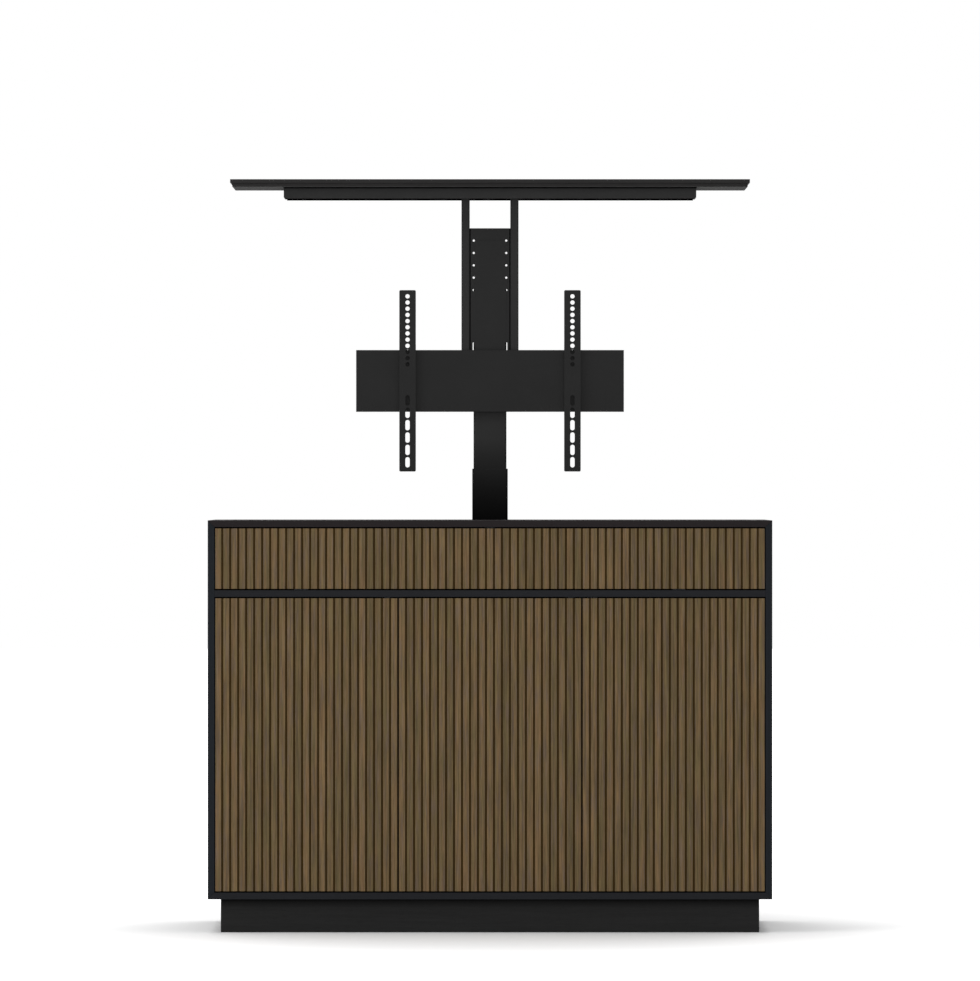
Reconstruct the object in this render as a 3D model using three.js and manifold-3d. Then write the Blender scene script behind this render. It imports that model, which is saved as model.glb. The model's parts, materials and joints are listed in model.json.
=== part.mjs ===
// A television lift cabinet: a low carcass with slatted fronts, and behind them a well with a
// telescopic screw column that raises the television mount and the lid above it.
// Lengths are in millimetres. The origin is on the floor at the middle of the footprint, +X is to the
// right, the fronts face -Y, +Z is up, and the lift stands raised, as it does in use.
import * as THREE from "three";
import { mergeVertices } from "three/addons/utils/BufferGeometryUtils.js";
import Module from "manifold-3d";

const wasm = await Module();
wasm.setup();

// Carcass
const cabinetWidth = 1342;
const cabinetDepth = 500;
const cabinetHeight = 981;
const boardThick = 16;
const plinthHeight = 80;
const plinthInset = 30;
const wellDepth = 244.5; // between the partition behind the front bays and the back panel
const flapBayHeight = 150;
const dividerSetback = 26.5; // from the carcass front to the dividers' front edges
const shelfHeight = 350; // from the bottom panel to the underside of the shelves
const shelfSetback = 12; // from the dividers' front edges to the shelves' front edges

// Slatted fronts
const frontRecess = 1.5;
const frontReveal = 3; // above and below each front
const sideReveal = 1.875;
const frontBoard = 16;
const slatDepth = 6;
const slatGroove = 4.75;
const slatChamfer = 0.8;
const seamGap = 2;
const slatCount = 69;
const doorCount = 3;

// Lift column
const columnSetback = 75; // of the column's axis from the back panel
const innerTubeWidth = 80;
const innerTubeDepth = 50;
const tubeWall = 2;
const tubeStep = 3.2; // each tube is wider than the next by this, on each side
const tubeCorner = 6;
const columnDrop = 271; // of the fixed tube's collar below the top panel
const stageOverlap = 149; // of the middle tube in the fixed one, when it is up
const headRise = 25; // the inner tube stands this far out of the collars when it is down
const plugHeight = 20;
const stageClear = 4; // between a moving tube's foot and what is under it, when it is down
const collarRim = 2;
const collarLength = 60;
const basePlateThick = 8;
const gearboxHeight = 26;

// Television mount
const spineDrop = 71; // of the spine's top below the lid's carrier
const barWidth = 650;
const barHeight = 150;
const barDrop = 442; // of the bar's middle below the lid's carrier
const barDepth = 9;
const armWidth = 40;
const armLength = 440;
const armDepth = 15;
const armSpacing = 400; // the usual square hole pattern on a television's back
const uprightSize = 20;
const uprightSpacing = 118.6; // between the two uprights' centre lines

// Lid
const lidThick = 18;
const lidSetIn = 28; // of the lid's ends from the sides' inner faces
const lidDepth = 230;
const lidRebate = 5;
const lidClear = 2; // around the lid in the top panel's opening
const lidSetback = 4; // of the lid's back edge from the back panel
const carrierSetIn = 127; // of the carrier's ends from the lid's
const carrierDepth = 126;
const carrierHeight = 25;
const carrierLead = 75; // of the carrier's front edge before the column's axis

// Fits
const slideFit = 0.3; // clearance between pieces that move on each other
const pressGap = 0.15; // round a plug or collar that is let into a tube

// Levels and lines worked out from the sizes above
const sideX = cabinetWidth / 2;
const innerX = sideX - boardThick;
const frontY = -cabinetDepth / 2;
const backY = cabinetDepth / 2;
const bottomTop = plinthHeight + boardThick;
const topUnder = cabinetHeight - boardThick;
const railTop = topUnder - flapBayHeight;
const railUnder = railTop - boardThick;
const dividerFront = frontY + dividerSetback;
const backPanelFront = backY - boardThick;
const partitionBack = backPanelFront - wellDepth;
const partitionFront = partitionBack - boardThick;
const slatFace = frontY + frontRecess;
const boardFace = slatFace + slatDepth;
const boardBack = boardFace + frontBoard;
const frontWidth = 2 * (innerX - sideReveal);
const slatPitch = (frontWidth + slatGroove) / slatCount;
const slatsPerDoor = slatCount / doorCount;
const doorBottom = bottomTop + frontReveal;
const doorTop = railUnder - frontReveal;
const flapBottom = railTop + frontReveal;
const flapTop = topUnder - frontReveal;
const seamX = (slatsPerDoor * slatPitch) / 2;

const columnY = backPanelFront - columnSetback;
const gearboxTop = bottomTop + basePlateThick + gearboxHeight;
const outerColumnTop = topUnder - columnDrop;
const stageTravel = outerColumnTop - gearboxTop - stageClear - stageOverlap;
const outerTubeTop = outerColumnTop - collarRim;
const middleColumnTop = outerColumnTop + stageTravel;
const middleTubeTop = middleColumnTop - collarRim;
const middleTubeFoot = gearboxTop + stageClear + stageTravel;
const plugTop = middleTubeFoot + plugHeight;
const innerTubeFoot = plugTop + stageClear + stageTravel;
const innerTubeTop = outerColumnTop + headRise + 2 * stageTravel;
const middleTubeWidth = innerTubeWidth + 2 * tubeStep;
const middleTubeDepth = innerTubeDepth + 2 * tubeStep;
const outerTubeWidth = middleTubeWidth + 2 * tubeStep;
const outerTubeDepth = middleTubeDepth + 2 * tubeStep;
const lidTop = cabinetHeight + 2 * stageTravel;
const lidUnder = lidTop - lidThick;
const lidWidth = 2 * (innerX - lidSetIn);
const lidFront = backPanelFront - lidSetback - lidDepth;
const carrierWidth = lidWidth - 2 * carrierSetIn;
const carrierFront = columnY - carrierLead;
const carrierBottom = lidUnder - carrierHeight;
const spineTop = carrierBottom - spineDrop;
const barCentreZ = carrierBottom - barDrop;

// Colours and finishes
const slatWood = { color: 0x64543c, roughness: 0.55, metalness: 0 };
const darkBoard = { color: 0x2c2b2e, roughness: 0.6, metalness: 0 };
const blackSteel = { color: 0x2a2a2a, roughness: 0.55, metalness: 0.5 };
const brightSteel = { color: 0xb9bbbd, roughness: 0.35, metalness: 0.9 };
const blackPlastic = { color: 0x18181a, roughness: 0.7, metalness: 0 };
const greyPlastic = { color: 0x77797b, roughness: 0.6, metalness: 0 };

// Shapes

// Every vertex lies on a fine grid, so that faces that touch have exactly the same coordinates.
const gridStepsShare = 1024;
const snap = (length) => Math.round(length * gridStepsShare) / gridStepsShare;

// Where an outline's own x, y and z axes go when it is pushed along x, y or z.
const pushFrames = {
  x: new THREE.Matrix4().makeBasis(
    new THREE.Vector3(0, 1, 0),
    new THREE.Vector3(0, 0, 1),
    new THREE.Vector3(1, 0, 0),
  ),
  y: new THREE.Matrix4().makeBasis(
    new THREE.Vector3(1, 0, 0),
    new THREE.Vector3(0, 0, 1),
    new THREE.Vector3(0, -1, 0),
  ),
  z: new THREE.Matrix4(),
};

function snapped(geometry) {
  const position = geometry.getAttribute("position");
  for (let i = 0; i < position.array.length; i++) position.array[i] = snap(position.array[i]);
  return geometry;
}

// A block between two corners.
function block(xs, ys, zs) {
  const [low, high] = [0, 1].map((end) => new THREE.Vector3(snap(xs[end]), snap(ys[end]), snap(zs[end])));
  const size = high.clone().sub(low);
  const geometry = new THREE.BoxGeometry(size.x, size.y, size.z);
  geometry.translate(low.x + size.x / 2, low.y + size.y / 2, low.z + size.z / 2);
  return snapped(geometry);
}

// An outline, or a list of its corners, pushed along an axis from one place to another. The outline
// lies in (y, z) for x, in (x, z) for y and in (x, y) for z. Each arc in it has twice curveSegments.
function pushed(outline, axis, from, to, curveSegments = 2) {
  const shape = Array.isArray(outline)
    ? new THREE.Shape(outline.map(([u, v]) => new THREE.Vector2(u, v)))
    : outline;
  const geometry = new THREE.ExtrudeGeometry(shape, {
    depth: to - from,
    bevelEnabled: false,
    curveSegments,
  });
  geometry.applyMatrix4(pushFrames[axis]);
  const start = axis === "y" ? to : from;
  geometry.translate(axis === "x" ? start : 0, axis === "y" ? start : 0, axis === "z" ? start : 0);
  return snapped(geometry);
}

// A round bar along an axis, about a point of the plane across it.
function rod(radius, axis, from, to, [u, v] = [0, 0], sides = 20) {
  const circle = new THREE.Shape();
  circle.absarc(u, v, radius, 0, 2 * Math.PI);
  return pushed(circle, axis, from, to, sides / 2);
}

// A rectangle with round corners, centred on a point.
function roundedRectangle(width, height, radius, [u, v] = [0, 0]) {
  const [a, b] = [width / 2, height / 2];
  const shape = new THREE.Shape();
  shape.absarc(u + a - radius, v + b - radius, radius, 0, Math.PI / 2);
  shape.absarc(u - a + radius, v + b - radius, radius, Math.PI / 2, Math.PI);
  shape.absarc(u - a + radius, v - b + radius, radius, Math.PI, 1.5 * Math.PI);
  shape.absarc(u + a - radius, v - b + radius, radius, 1.5 * Math.PI, 2 * Math.PI);
  return shape;
}

// A slot with round ends, its length along v.
function slotOutline(width, length, [u, v] = [0, 0]) {
  const reach = (length - width) / 2;
  const shape = new THREE.Shape();
  shape.absarc(u, v + reach, width / 2, 0, Math.PI);
  shape.absarc(u, v - reach, width / 2, Math.PI, 2 * Math.PI);
  return shape;
}

function solid(geometry) {
  const bare = geometry.clone();
  bare.deleteAttribute("normal");
  bare.deleteAttribute("uv");
  const merged = mergeVertices(bare);
  return new wasm.Manifold(
    new wasm.Mesh({
      numProp: 3,
      vertProperties: merged.attributes.position.array,
      triVerts: new Uint32Array(merged.index.array),
    }),
  );
}

function surface(body) {
  const mesh = body.getMesh();
  const geometry = new THREE.BufferGeometry();
  geometry.setAttribute("position", new THREE.BufferAttribute(new Float32Array(mesh.vertProperties), 3));
  geometry.setIndex(new THREE.BufferAttribute(new Uint32Array(mesh.triVerts), 1));
  return snapped(geometry);
}

const joined = (first, ...others) =>
  surface(others.reduce((body, other) => body.add(solid(other)), solid(first)));

const cut = (first, ...tools) =>
  surface(tools.reduce((body, tool) => body.subtract(solid(tool)), solid(first)));

// Puts a named piece in its group, at a place and with a turn of its own.
function piece(group, name, finish, geometry, [x, y, z] = [0, 0, 0], turn = null) {
  const shown = geometry.index ? geometry.toNonIndexed() : geometry;
  shown.computeVertexNormals();
  const mesh = new THREE.Mesh(shown, new THREE.MeshStandardMaterial(finish));
  mesh.name = name;
  mesh.position.set(snap(x), snap(y), snap(z));
  if (turn) mesh.quaternion.setFromRotationMatrix(turn);
  group.add(mesh);
}

const overrun = 5; // how far a cutting tool stands out of what it cuts

const cabinet = new THREE.Group();
const carcass = new THREE.Group();
const fronts = new THREE.Group();
const lift = new THREE.Group();
cabinet.add(carcass, fronts, lift);

// Carcass boards, mitred where the sides meet the top and the bottom

const innerWidth = [-innerX, innerX];
const fullDepth = [frontY, backY];

for (const [name, side] of [["left_side_panel", -1], ["right_side_panel", 1]]) {
  const outline = [
    [side * sideX, plinthHeight],
    [side * innerX, bottomTop],
    [side * innerX, topUnder],
    [side * sideX, cabinetHeight],
  ];
  piece(carcass, name, darkBoard, pushed(outline, "y", ...fullDepth));
}

// The lid's opening has a ledge under the lid's rebated edge.
function topPanel() {
  const outline = [
    [-sideX, cabinetHeight],
    [-innerX, topUnder],
    [innerX, topUnder],
    [sideX, cabinetHeight],
  ];
  const openingX = lidWidth / 2 + lidClear;
  const opening = [lidFront - lidClear, lidFront + lidDepth + lidClear];
  const ledge = cabinetHeight - lidThick / 2 - slideFit;
  return cut(
    pushed(outline, "y", ...fullDepth),
    block([-openingX, openingX], opening, [ledge, cabinetHeight + overrun]),
    block(
      [lidRebate - openingX, openingX - lidRebate],
      [opening[0] + lidRebate, opening[1] - lidRebate],
      [topUnder - overrun, cabinetHeight],
    ),
  );
}
piece(carcass, "top_panel", darkBoard, topPanel());

const bottomOutline = [
  [-sideX, plinthHeight],
  [sideX, plinthHeight],
  [innerX, bottomTop],
  [-innerX, bottomTop],
];
piece(carcass, "bottom_panel", darkBoard, pushed(bottomOutline, "y", ...fullDepth));
piece(
  carcass,
  "middle_rail",
  darkBoard,
  block(innerWidth, [frontY, partitionFront], [railUnder, railTop]),
);
piece(
  carcass,
  "well_partition",
  darkBoard,
  block(innerWidth, [partitionFront, partitionBack], [bottomTop, topUnder]),
);

for (const [name, side] of [["left_divider", -1], ["right_divider", 1]]) {
  const x = side * seamX;
  piece(
    carcass,
    name,
    darkBoard,
    block(
      [x - boardThick / 2, x + boardThick / 2],
      [dividerFront, partitionFront],
      [bottomTop, railUnder],
    ),
  );
}

const dividerInner = seamX - boardThick / 2;
const dividerOuter = seamX + boardThick / 2;
const shelfSpans = {
  left_shelf: [-innerX, -dividerOuter],
  centre_shelf: [-dividerInner, dividerInner],
  right_shelf: [dividerOuter, innerX],
};
const shelfUnder = bottomTop + shelfHeight;
for (const [name, span] of Object.entries(shelfSpans)) {
  piece(
    carcass,
    name,
    darkBoard,
    block(span, [dividerFront + shelfSetback, partitionFront], [shelfUnder, shelfUnder + boardThick]),
  );
}

// The back panel has two ports for cords at its foot and two groups of vent slots near its top.
function backPanel() {
  const portInset = 235; // of the ports' middles from the sides' inner faces
  const portWidth = 120;
  const portHeight = 60;
  const portRise = 90;
  const ventInset = 295;
  const ventRows = 5;
  const ventLength = 110;
  const ventHeight = 10;
  const ventPitch = 24;
  const ventDrop = 110;
  const through = ["y", backPanelFront - overrun, backY + overrun];
  const tools = [];
  for (const side of [-1, 1]) {
    const port = roundedRectangle(portWidth, portHeight, portHeight / 2, [
      side * (innerX - portInset),
      bottomTop + portRise,
    ]);
    tools.push(pushed(port, ...through, 3));
    for (let row = 0; row < ventRows; row++) {
      const z = topUnder - ventDrop - row * ventPitch;
      const ventAt = [side * (innerX - ventInset), z];
      const vent = roundedRectangle(ventLength, ventHeight, ventHeight / 2, ventAt);
      tools.push(pushed(vent, ...through, 1));
    }
  }
  return cut(block(innerWidth, [backPanelFront, backY], [bottomTop, topUnder]), ...tools);
}
piece(carcass, "back_panel", darkBoard, backPanel());

// Plinth

const plinthX = sideX - plinthInset;
const plinthFront = frontY + plinthInset;
const plinthBack = backY - plinthInset;
const plinthRise = [0, plinthHeight];
piece(
  carcass,
  "plinth_front",
  darkBoard,
  block([-plinthX, plinthX], [plinthFront, plinthFront + boardThick], plinthRise),
);
piece(
  carcass,
  "plinth_back",
  darkBoard,
  block([-plinthX, plinthX], [plinthBack - boardThick, plinthBack], plinthRise),
);
const plinthSideSpan = [plinthFront + boardThick, plinthBack - boardThick];
piece(
  carcass,
  "plinth_left",
  darkBoard,
  block([-plinthX, boardThick - plinthX], plinthSideSpan, plinthRise),
);
piece(
  carcass,
  "plinth_right",
  darkBoard,
  block([plinthX - boardThick, plinthX], plinthSideSpan, plinthRise),
);

// Concealed hinges. A hinge's own axes are u, from the front's hinged edge over its back, v, from the
// front's back into the cabinet, and w, along the edge. The arm stands just off the cup's flange, so
// that it clears the front as it swings about its outer corner.

// A front's hinged edge is "edge" below, "turn" says to which side of it the front lies, and "face" is
// the carcass face that carries the hinges.
const hingeCup = {
  setback: 22.5, // from the front's edge to the cup's centre
  bore: 15.5,
  depth: 10,
  flange: 19,
  flangeThick: 1,
  ear: 7,
  earReach: 24,
};

// The flange's two ears lie along the hinged edge, which is upright on a door.
function cupFlange({ at, upright }) {
  const { flange, ear, earReach, flangeThick } = hingeCup;
  const back = [boardBack - flangeThick, boardBack + flangeThick];
  const earsLength = 2 * (earReach + ear);
  const size = upright ? [2 * ear, earsLength] : [earsLength, 2 * ear];
  return [
    rod(flange, "y", ...back, at),
    pushed(roundedRectangle(...size, ear, at), "y", ...back),
  ];
}

function cupRecess({ at }) {
  const { bore, depth, flangeThick } = hingeCup;
  return rod(bore, "y", boardBack + flangeThick - depth, boardBack + overrun, at);
}

// A front's board with the slats that stand on it, from one slat to another, and its hinge cups.
function slattedFront(firstSlat, count, bottom, top, cups) {
  const slatLeft = (index) => -frontWidth / 2 + index * slatPitch;
  const seamOverhang = (slatGroove - seamGap) / 2;
  const lastSlat = firstSlat + count - 1;
  const leftEdge = slatLeft(firstSlat) - (firstSlat > 0 ? seamOverhang : 0);
  const rightFlush = lastSlat === slatCount - 1;
  const rightEdge = slatLeft(lastSlat + 1) - slatGroove + (rightFlush ? 0 : seamOverhang);
  const corners = [
    [leftEdge, boardBack],
    [rightEdge, boardBack],
  ];
  if (!rightFlush) corners.push([rightEdge, boardFace]);
  for (let index = lastSlat; index >= firstSlat; index--) {
    const left = slatLeft(index);
    const right = left + slatPitch - slatGroove;
    if (!(rightFlush && index === lastSlat)) corners.push([right, boardFace]);
    corners.push(
      [right, slatFace + slatChamfer],
      [right - slatChamfer, slatFace],
      [left + slatChamfer, slatFace],
      [left, slatFace + slatChamfer],
    );
    if (index > 0) corners.push([left, boardFace]);
  }
  if (firstSlat > 0) corners.push([leftEdge, boardFace]);
  const board = pushed(corners, "z", bottom, top);
  return cut(joined(board, ...cups.flatMap(cupFlange)), ...cups.map(cupRecess));
}

const doorHingeInset = 100; // from a door's top and bottom to its hinges
const doorHingeHeights = { lower: doorBottom + doorHingeInset, upper: doorTop - doorHingeInset };
const doors = [
  { name: "left", first: 0, edge: -frontWidth / 2, turn: 1, face: -innerX },
  { name: "centre", first: slatsPerDoor, edge: seamGap / 2 - seamX, turn: 1, face: -dividerInner },
  { name: "right", first: 2 * slatsPerDoor, edge: frontWidth / 2, turn: -1, face: innerX },
];
for (const { name, first, edge, turn } of doors) {
  const cupX = edge + turn * hingeCup.setback;
  const cups = Object.values(doorHingeHeights).map((z) => ({ at: [cupX, z], upright: true }));
  const geometry = slattedFront(first, slatsPerDoor, doorBottom, doorTop, cups);
  piece(fronts, name + "_door", slatWood, geometry);
}

const flapHingeInset = 205; // from the sides' inner faces
const flapHingeX = innerX - flapHingeInset;
const flapCupZ = flapBottom + hingeCup.setback;
const flapCups = [-1, 1].map((side) => ({ at: [side * flapHingeX, flapCupZ], upright: false }));
piece(fronts, "front_flap", slatWood, slattedFront(0, slatCount, flapBottom, flapTop, flapCups));

// The cranked arm on its mounting plate. mountingFace is the face that carries the plate, along u.
function hingeArm(mountingFace) {
  const plateThick = 2;
  const plateReach = [18, 64];
  const plateHalf = 16;
  const armHalf = 6.5;
  const armHeight = 11;
  const tongueHalf = 6;
  const tongueLength = 9;
  const [near, far] = plateReach;
  const { setback } = hingeCup;
  const plate = block([mountingFace, mountingFace + plateThick], plateReach, [-plateHalf, plateHalf]);
  const arm = pushed(
    [
      [mountingFace + plateThick / 2, far],
      [mountingFace + plateThick / 2, near + tongueHalf],
      [setback - tongueHalf, tongueLength],
      [setback - tongueHalf, 0],
      [setback + tongueHalf, 0],
      [setback + tongueHalf, tongueLength + tongueHalf],
      [mountingFace + armHeight, near + armHeight],
      [mountingFace + armHeight, far],
    ],
    "z",
    -armHalf,
    armHalf,
  );
  return joined(plate, arm);
}

const hingeLine = boardBack + hingeCup.flangeThick + slideFit;
const quarterTurns = {
  left: new THREE.Matrix4(),
  right: new THREE.Matrix4().makeRotationY(Math.PI),
  up: new THREE.Matrix4().makeRotationY(-Math.PI / 2),
};
for (const { name, edge, turn, face } of doors) {
  const geometry = hingeArm(turn * (face - edge));
  for (const [place, z] of Object.entries(doorHingeHeights)) {
    const frame = turn > 0 ? quarterTurns.left : quarterTurns.right;
    piece(carcass, `${name}_hinge_${place}`, brightSteel, geometry, [edge, hingeLine, z], frame);
  }
}
for (const [name, side] of [["flap_hinge_left", -1], ["flap_hinge_right", 1]]) {
  const place = [side * flapHingeX, hingeLine, flapBottom];
  piece(carcass, name, brightSteel, hingeArm(-frontReveal), place, quarterTurns.up);
}

// Push-to-open latches, under the board above each front, behind its free edge

const latch = {
  width: 14,
  height: 13,
  length: 58,
  setback: 4.2, // of the housing behind the plunger's tip
  plungerRadius: 4,
  plungerLength: 40,
  boreDepth: 44,
  ledge: 5.5, // of screwing flange at each side
};

function latchHousing() {
  const { width, height, length, plungerRadius, boreDepth, ledge } = latch;
  const flangeThick = 2.5;
  const body = block([-width / 2, width / 2], [0, length], [-height, 0]);
  const flange = block(
    [-width / 2 - ledge, width / 2 + ledge],
    [length / 3, length],
    [-flangeThick, 0],
  );
  const bore = rod(plungerRadius + slideFit, "y", -overrun, boreDepth, [0, -height / 2], 16);
  return cut(joined(body, flange), bore);
}

function latchPlunger() {
  const { plungerRadius, plungerLength } = latch;
  const tipChamfer = 1;
  const profile = [
    [0, 0],
    [plungerRadius - tipChamfer, 0],
    [plungerRadius, tipChamfer],
    [plungerRadius, plungerLength],
    [0, plungerLength],
  ].map(([r, y]) => new THREE.Vector2(r, y));
  return snapped(new THREE.LatheGeometry(profile, 16));
}

const latchEdge = 26; // from a door's free edge to its latch
const plungerTip = boardBack + slideFit;
const latches = [
  ["left_door", -seamX - latchEdge, railUnder],
  ["centre_door", seamX - latchEdge, railUnder],
  ["right_door", seamX + latchEdge, railUnder],
  ["flap", 0, topUnder],
];
for (const [name, x, under] of latches) {
  const housingPlace = [x, plungerTip + latch.setback, under];
  piece(carcass, name + "_latch", greyPlastic, latchHousing(), housingPlace);
  const plungerPlace = [x, plungerTip, under - latch.height / 2];
  piece(fronts, name + "_plunger", blackPlastic, latchPlunger(), plungerPlace);
}

// Lift drive

const baseWidth = 330;
const baseDepth = 134;
piece(
  lift,
  "lift_base_plate",
  blackSteel,
  block(
    [-baseWidth / 2, baseWidth / 2],
    [columnY - baseDepth / 2, columnY + baseDepth / 2],
    [bottomTop, bottomTop + basePlateThick],
  ),
);

const lowerScrewRadius = 7;
const upperScrewRadius = 12;
const upperScrewBore = lowerScrewRadius + 2 * slideFit;
const screwEnd = 10; // clear above a screw's end, and of thread past its nut
const bearingDepth = 18;
const screwFootClear = 2;
const motorX = 106;
const columnAt = [0, columnY];

// A flat cast housing under the column's foot and the motor, with the lower screw's bearing.
function gearboxHousing() {
  const marginX = 14;
  const corner = 12;
  const left = -outerTubeWidth / 2 - marginX;
  const motorReach = 46;
  const right = motorX + motorReach;
  const width = right - left;
  const low = bottomTop + basePlateThick;
  const outline = roundedRectangle(width, outerTubeDepth + 2 * marginX, corner, [
    left + width / 2,
    columnY,
  ]);
  const bearing = rod(
    lowerScrewRadius + slideFit,
    "z",
    gearboxTop - bearingDepth,
    gearboxTop + overrun,
    columnAt,
  );
  return cut(pushed(outline, "z", low, gearboxTop, 3), bearing);
}
piece(lift, "gearbox_housing", blackSteel, gearboxHousing());

// The motor stands on the gearbox beside the column: flange, can, end bell and shaft boss.
function motor() {
  const flangeRadius = 34;
  const flangeThick = 6;
  const canRadius = 29;
  const canLength = 96;
  const bellRadius = 25;
  const bellLength = 12;
  const bossRadius = 8;
  const bossLength = 5;
  const canTop = flangeThick + canLength;
  const bellTop = canTop + bellLength;
  const profile = [
    [0, 0],
    [flangeRadius, 0],
    [flangeRadius, flangeThick],
    [canRadius, flangeThick],
    [canRadius, canTop],
    [bellRadius, bellTop],
    [bossRadius, bellTop],
    [bossRadius, bellTop + bossLength],
    [0, bellTop + bossLength],
  ].map(([r, y]) => new THREE.Vector2(r, y));
  const turned = new THREE.LatheGeometry(profile, 28);
  turned.rotateX(Math.PI / 2);
  return snapped(turned);
}
piece(lift, "drive_motor", blackSteel, motor(), [motorX, columnY, gearboxTop]);

// Column

// A rectangular tube with round corners, about the column's axis.
function columnTube(width, depth, foot, top) {
  const outline = roundedRectangle(width, depth, tubeCorner, columnAt);
  outline.holes.push(
    roundedRectangle(width - 2 * tubeWall, depth - 2 * tubeWall, tubeCorner - tubeWall, columnAt),
  );
  return pushed(outline, "z", foot, top);
}
piece(
  lift,
  "outer_tube",
  blackSteel,
  columnTube(outerTubeWidth, outerTubeDepth, gearboxTop, outerTubeTop),
);
piece(
  lift,
  "middle_tube",
  blackSteel,
  columnTube(middleTubeWidth, middleTubeDepth, middleTubeFoot, middleTubeTop),
);
piece(
  lift,
  "inner_tube",
  blackSteel,
  columnTube(innerTubeWidth, innerTubeDepth, innerTubeFoot, innerTubeTop),
);

// A plastic collar let into a tube's top, with a rim on the tube's end. It guides the next tube.
function glideCollar(width, depth, tubeTop) {
  const bore = roundedRectangle(
    width - 2 * tubeStep + 2 * slideFit,
    depth - 2 * tubeStep + 2 * slideFit,
    tubeCorner,
    columnAt,
  );
  const sleeve = roundedRectangle(
    width - 2 * tubeWall - 2 * pressGap,
    depth - 2 * tubeWall - 2 * pressGap,
    tubeCorner - tubeWall,
    columnAt,
  );
  const rim = roundedRectangle(width, depth, tubeCorner, columnAt);
  return cut(
    joined(
      pushed(sleeve, "z", tubeTop - collarLength, tubeTop + collarRim / 2),
      pushed(rim, "z", tubeTop, tubeTop + collarRim),
    ),
    pushed(bore, "z", tubeTop - collarLength - overrun, tubeTop + collarRim + overrun),
  );
}
piece(
  lift,
  "outer_glide_collar",
  blackPlastic,
  glideCollar(outerTubeWidth, outerTubeDepth, outerTubeTop),
);
piece(
  lift,
  "middle_glide_collar",
  blackPlastic,
  glideCollar(middleTubeWidth, middleTubeDepth, middleTubeTop),
);

// The plug in a moving tube's foot, with a round hole for the screw that it carries or runs on.
function tubePlug(width, depth, foot, holeRadius) {
  const outline = roundedRectangle(
    width - 2 * tubeWall - 2 * pressGap,
    depth - 2 * tubeWall - 2 * pressGap,
    tubeCorner - tubeWall,
    columnAt,
  );
  const hole = rod(holeRadius, "z", foot - overrun, foot + plugHeight + overrun, columnAt);
  return cut(pushed(outline, "z", foot, foot + plugHeight), hole);
}
const journalRadius = 10;
piece(
  lift,
  "middle_tube_plug",
  brightSteel,
  tubePlug(middleTubeWidth, middleTubeDepth, middleTubeFoot, journalRadius + slideFit),
);
piece(
  lift,
  "inner_tube_nut",
  brightSteel,
  tubePlug(innerTubeWidth, innerTubeDepth, innerTubeFoot, upperScrewRadius + slideFit),
);

// The lower screw turns in the gearbox. The hollow upper screw runs on it, turns in the middle
// tube's plug, which lifts that tube, and drives the nut in the inner tube's foot.
const lowerScrewFoot = gearboxTop - bearingDepth + screwFootClear;
const lowerScrewTop = outerTubeTop - 2 * screwEnd;
piece(
  lift,
  "lower_screw",
  brightSteel,
  rod(lowerScrewRadius, "z", lowerScrewFoot, lowerScrewTop, columnAt),
);

function upperScrew() {
  const shoulder = plugTop + slideFit;
  const top = shoulder + (innerTubeTop - innerTubeFoot) - 2 * screwEnd;
  return cut(
    joined(
      rod(journalRadius, "z", middleTubeFoot, shoulder + screwEnd, columnAt),
      rod(upperScrewRadius, "z", shoulder, top, columnAt),
    ),
    rod(upperScrewBore, "z", middleTubeFoot - overrun, top + overrun, columnAt),
  );
}
piece(lift, "upper_screw", brightSteel, upperScrew());

// Ties the outer tube to the back panel: a folded strap with feet on the panel.
function columnBrace() {
  const strapThick = 3;
  const strapHeight = 30;
  const strapDrop = 70; // below the outer tube's top
  const half = outerTubeWidth / 2 - tubeCorner;
  const foot = 32;
  const tubeBack = columnY + outerTubeDepth / 2;
  const top = outerTubeTop - strapDrop;
  const outline = [
    [-half, tubeBack],
    [half, tubeBack],
    [half, backPanelFront - strapThick],
    [half + foot, backPanelFront - strapThick],
    [half + foot, backPanelFront],
    [half - strapThick, backPanelFront],
    [half - strapThick, tubeBack + strapThick],
    [strapThick - half, tubeBack + strapThick],
    [strapThick - half, backPanelFront],
    [-half - foot, backPanelFront],
    [-half - foot, backPanelFront - strapThick],
    [-half, backPanelFront - strapThick],
  ];
  return pushed(outline, "z", top - strapHeight, top);
}
piece(lift, "column_brace", blackSteel, columnBrace());

// The control box hangs on the back panel behind the television, with a socket in its underside.
function controlBox() {
  const width = 160;
  const depth = 38;
  const height = 96;
  const corner = 5;
  const inset = 325; // of the box's middle from the side's inner face
  const middle = inset - innerX;
  const rise = 234; // above the bottom panel
  const socketWidth = 28;
  const socketDepth = 20;
  const socketHeight = 18;
  const y = backPanelFront - depth / 2;
  const outline = roundedRectangle(width, depth, corner, [middle, y]);
  const bottom = bottomTop + rise;
  const socket = block(
    [middle - socketWidth / 2, middle + socketWidth / 2],
    [y - socketDepth / 2, y + socketDepth / 2],
    [bottom - overrun, bottom + socketHeight],
  );
  return cut(pushed(outline, "z", bottom, bottom + height), socket);
}
piece(lift, "control_box", blackPlastic, controlBox());

// Television mount

const spineClear = 2.6; // between the spine plate and the fixed tube, when the lift is down
const plateThick = 3;
const spineRise = 10; // of the spine's and the uprights' feet above the bar's lower edge
const spineBack = columnY - outerTubeDepth / 2 - spineClear;
const spineFace = spineBack - 2 * plateThick;
const barBack = spineFace;
const barFace = barBack - barDepth;
const armBack = barFace - slideFit;
const armFace = armBack - armDepth;
const barBottom = barCentreZ - barHeight / 2;
const barTop = barCentreZ + barHeight / 2;
const uprightInner = (uprightSpacing - uprightSize) / 2;
const spineFoot = barBottom + spineRise;

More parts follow.
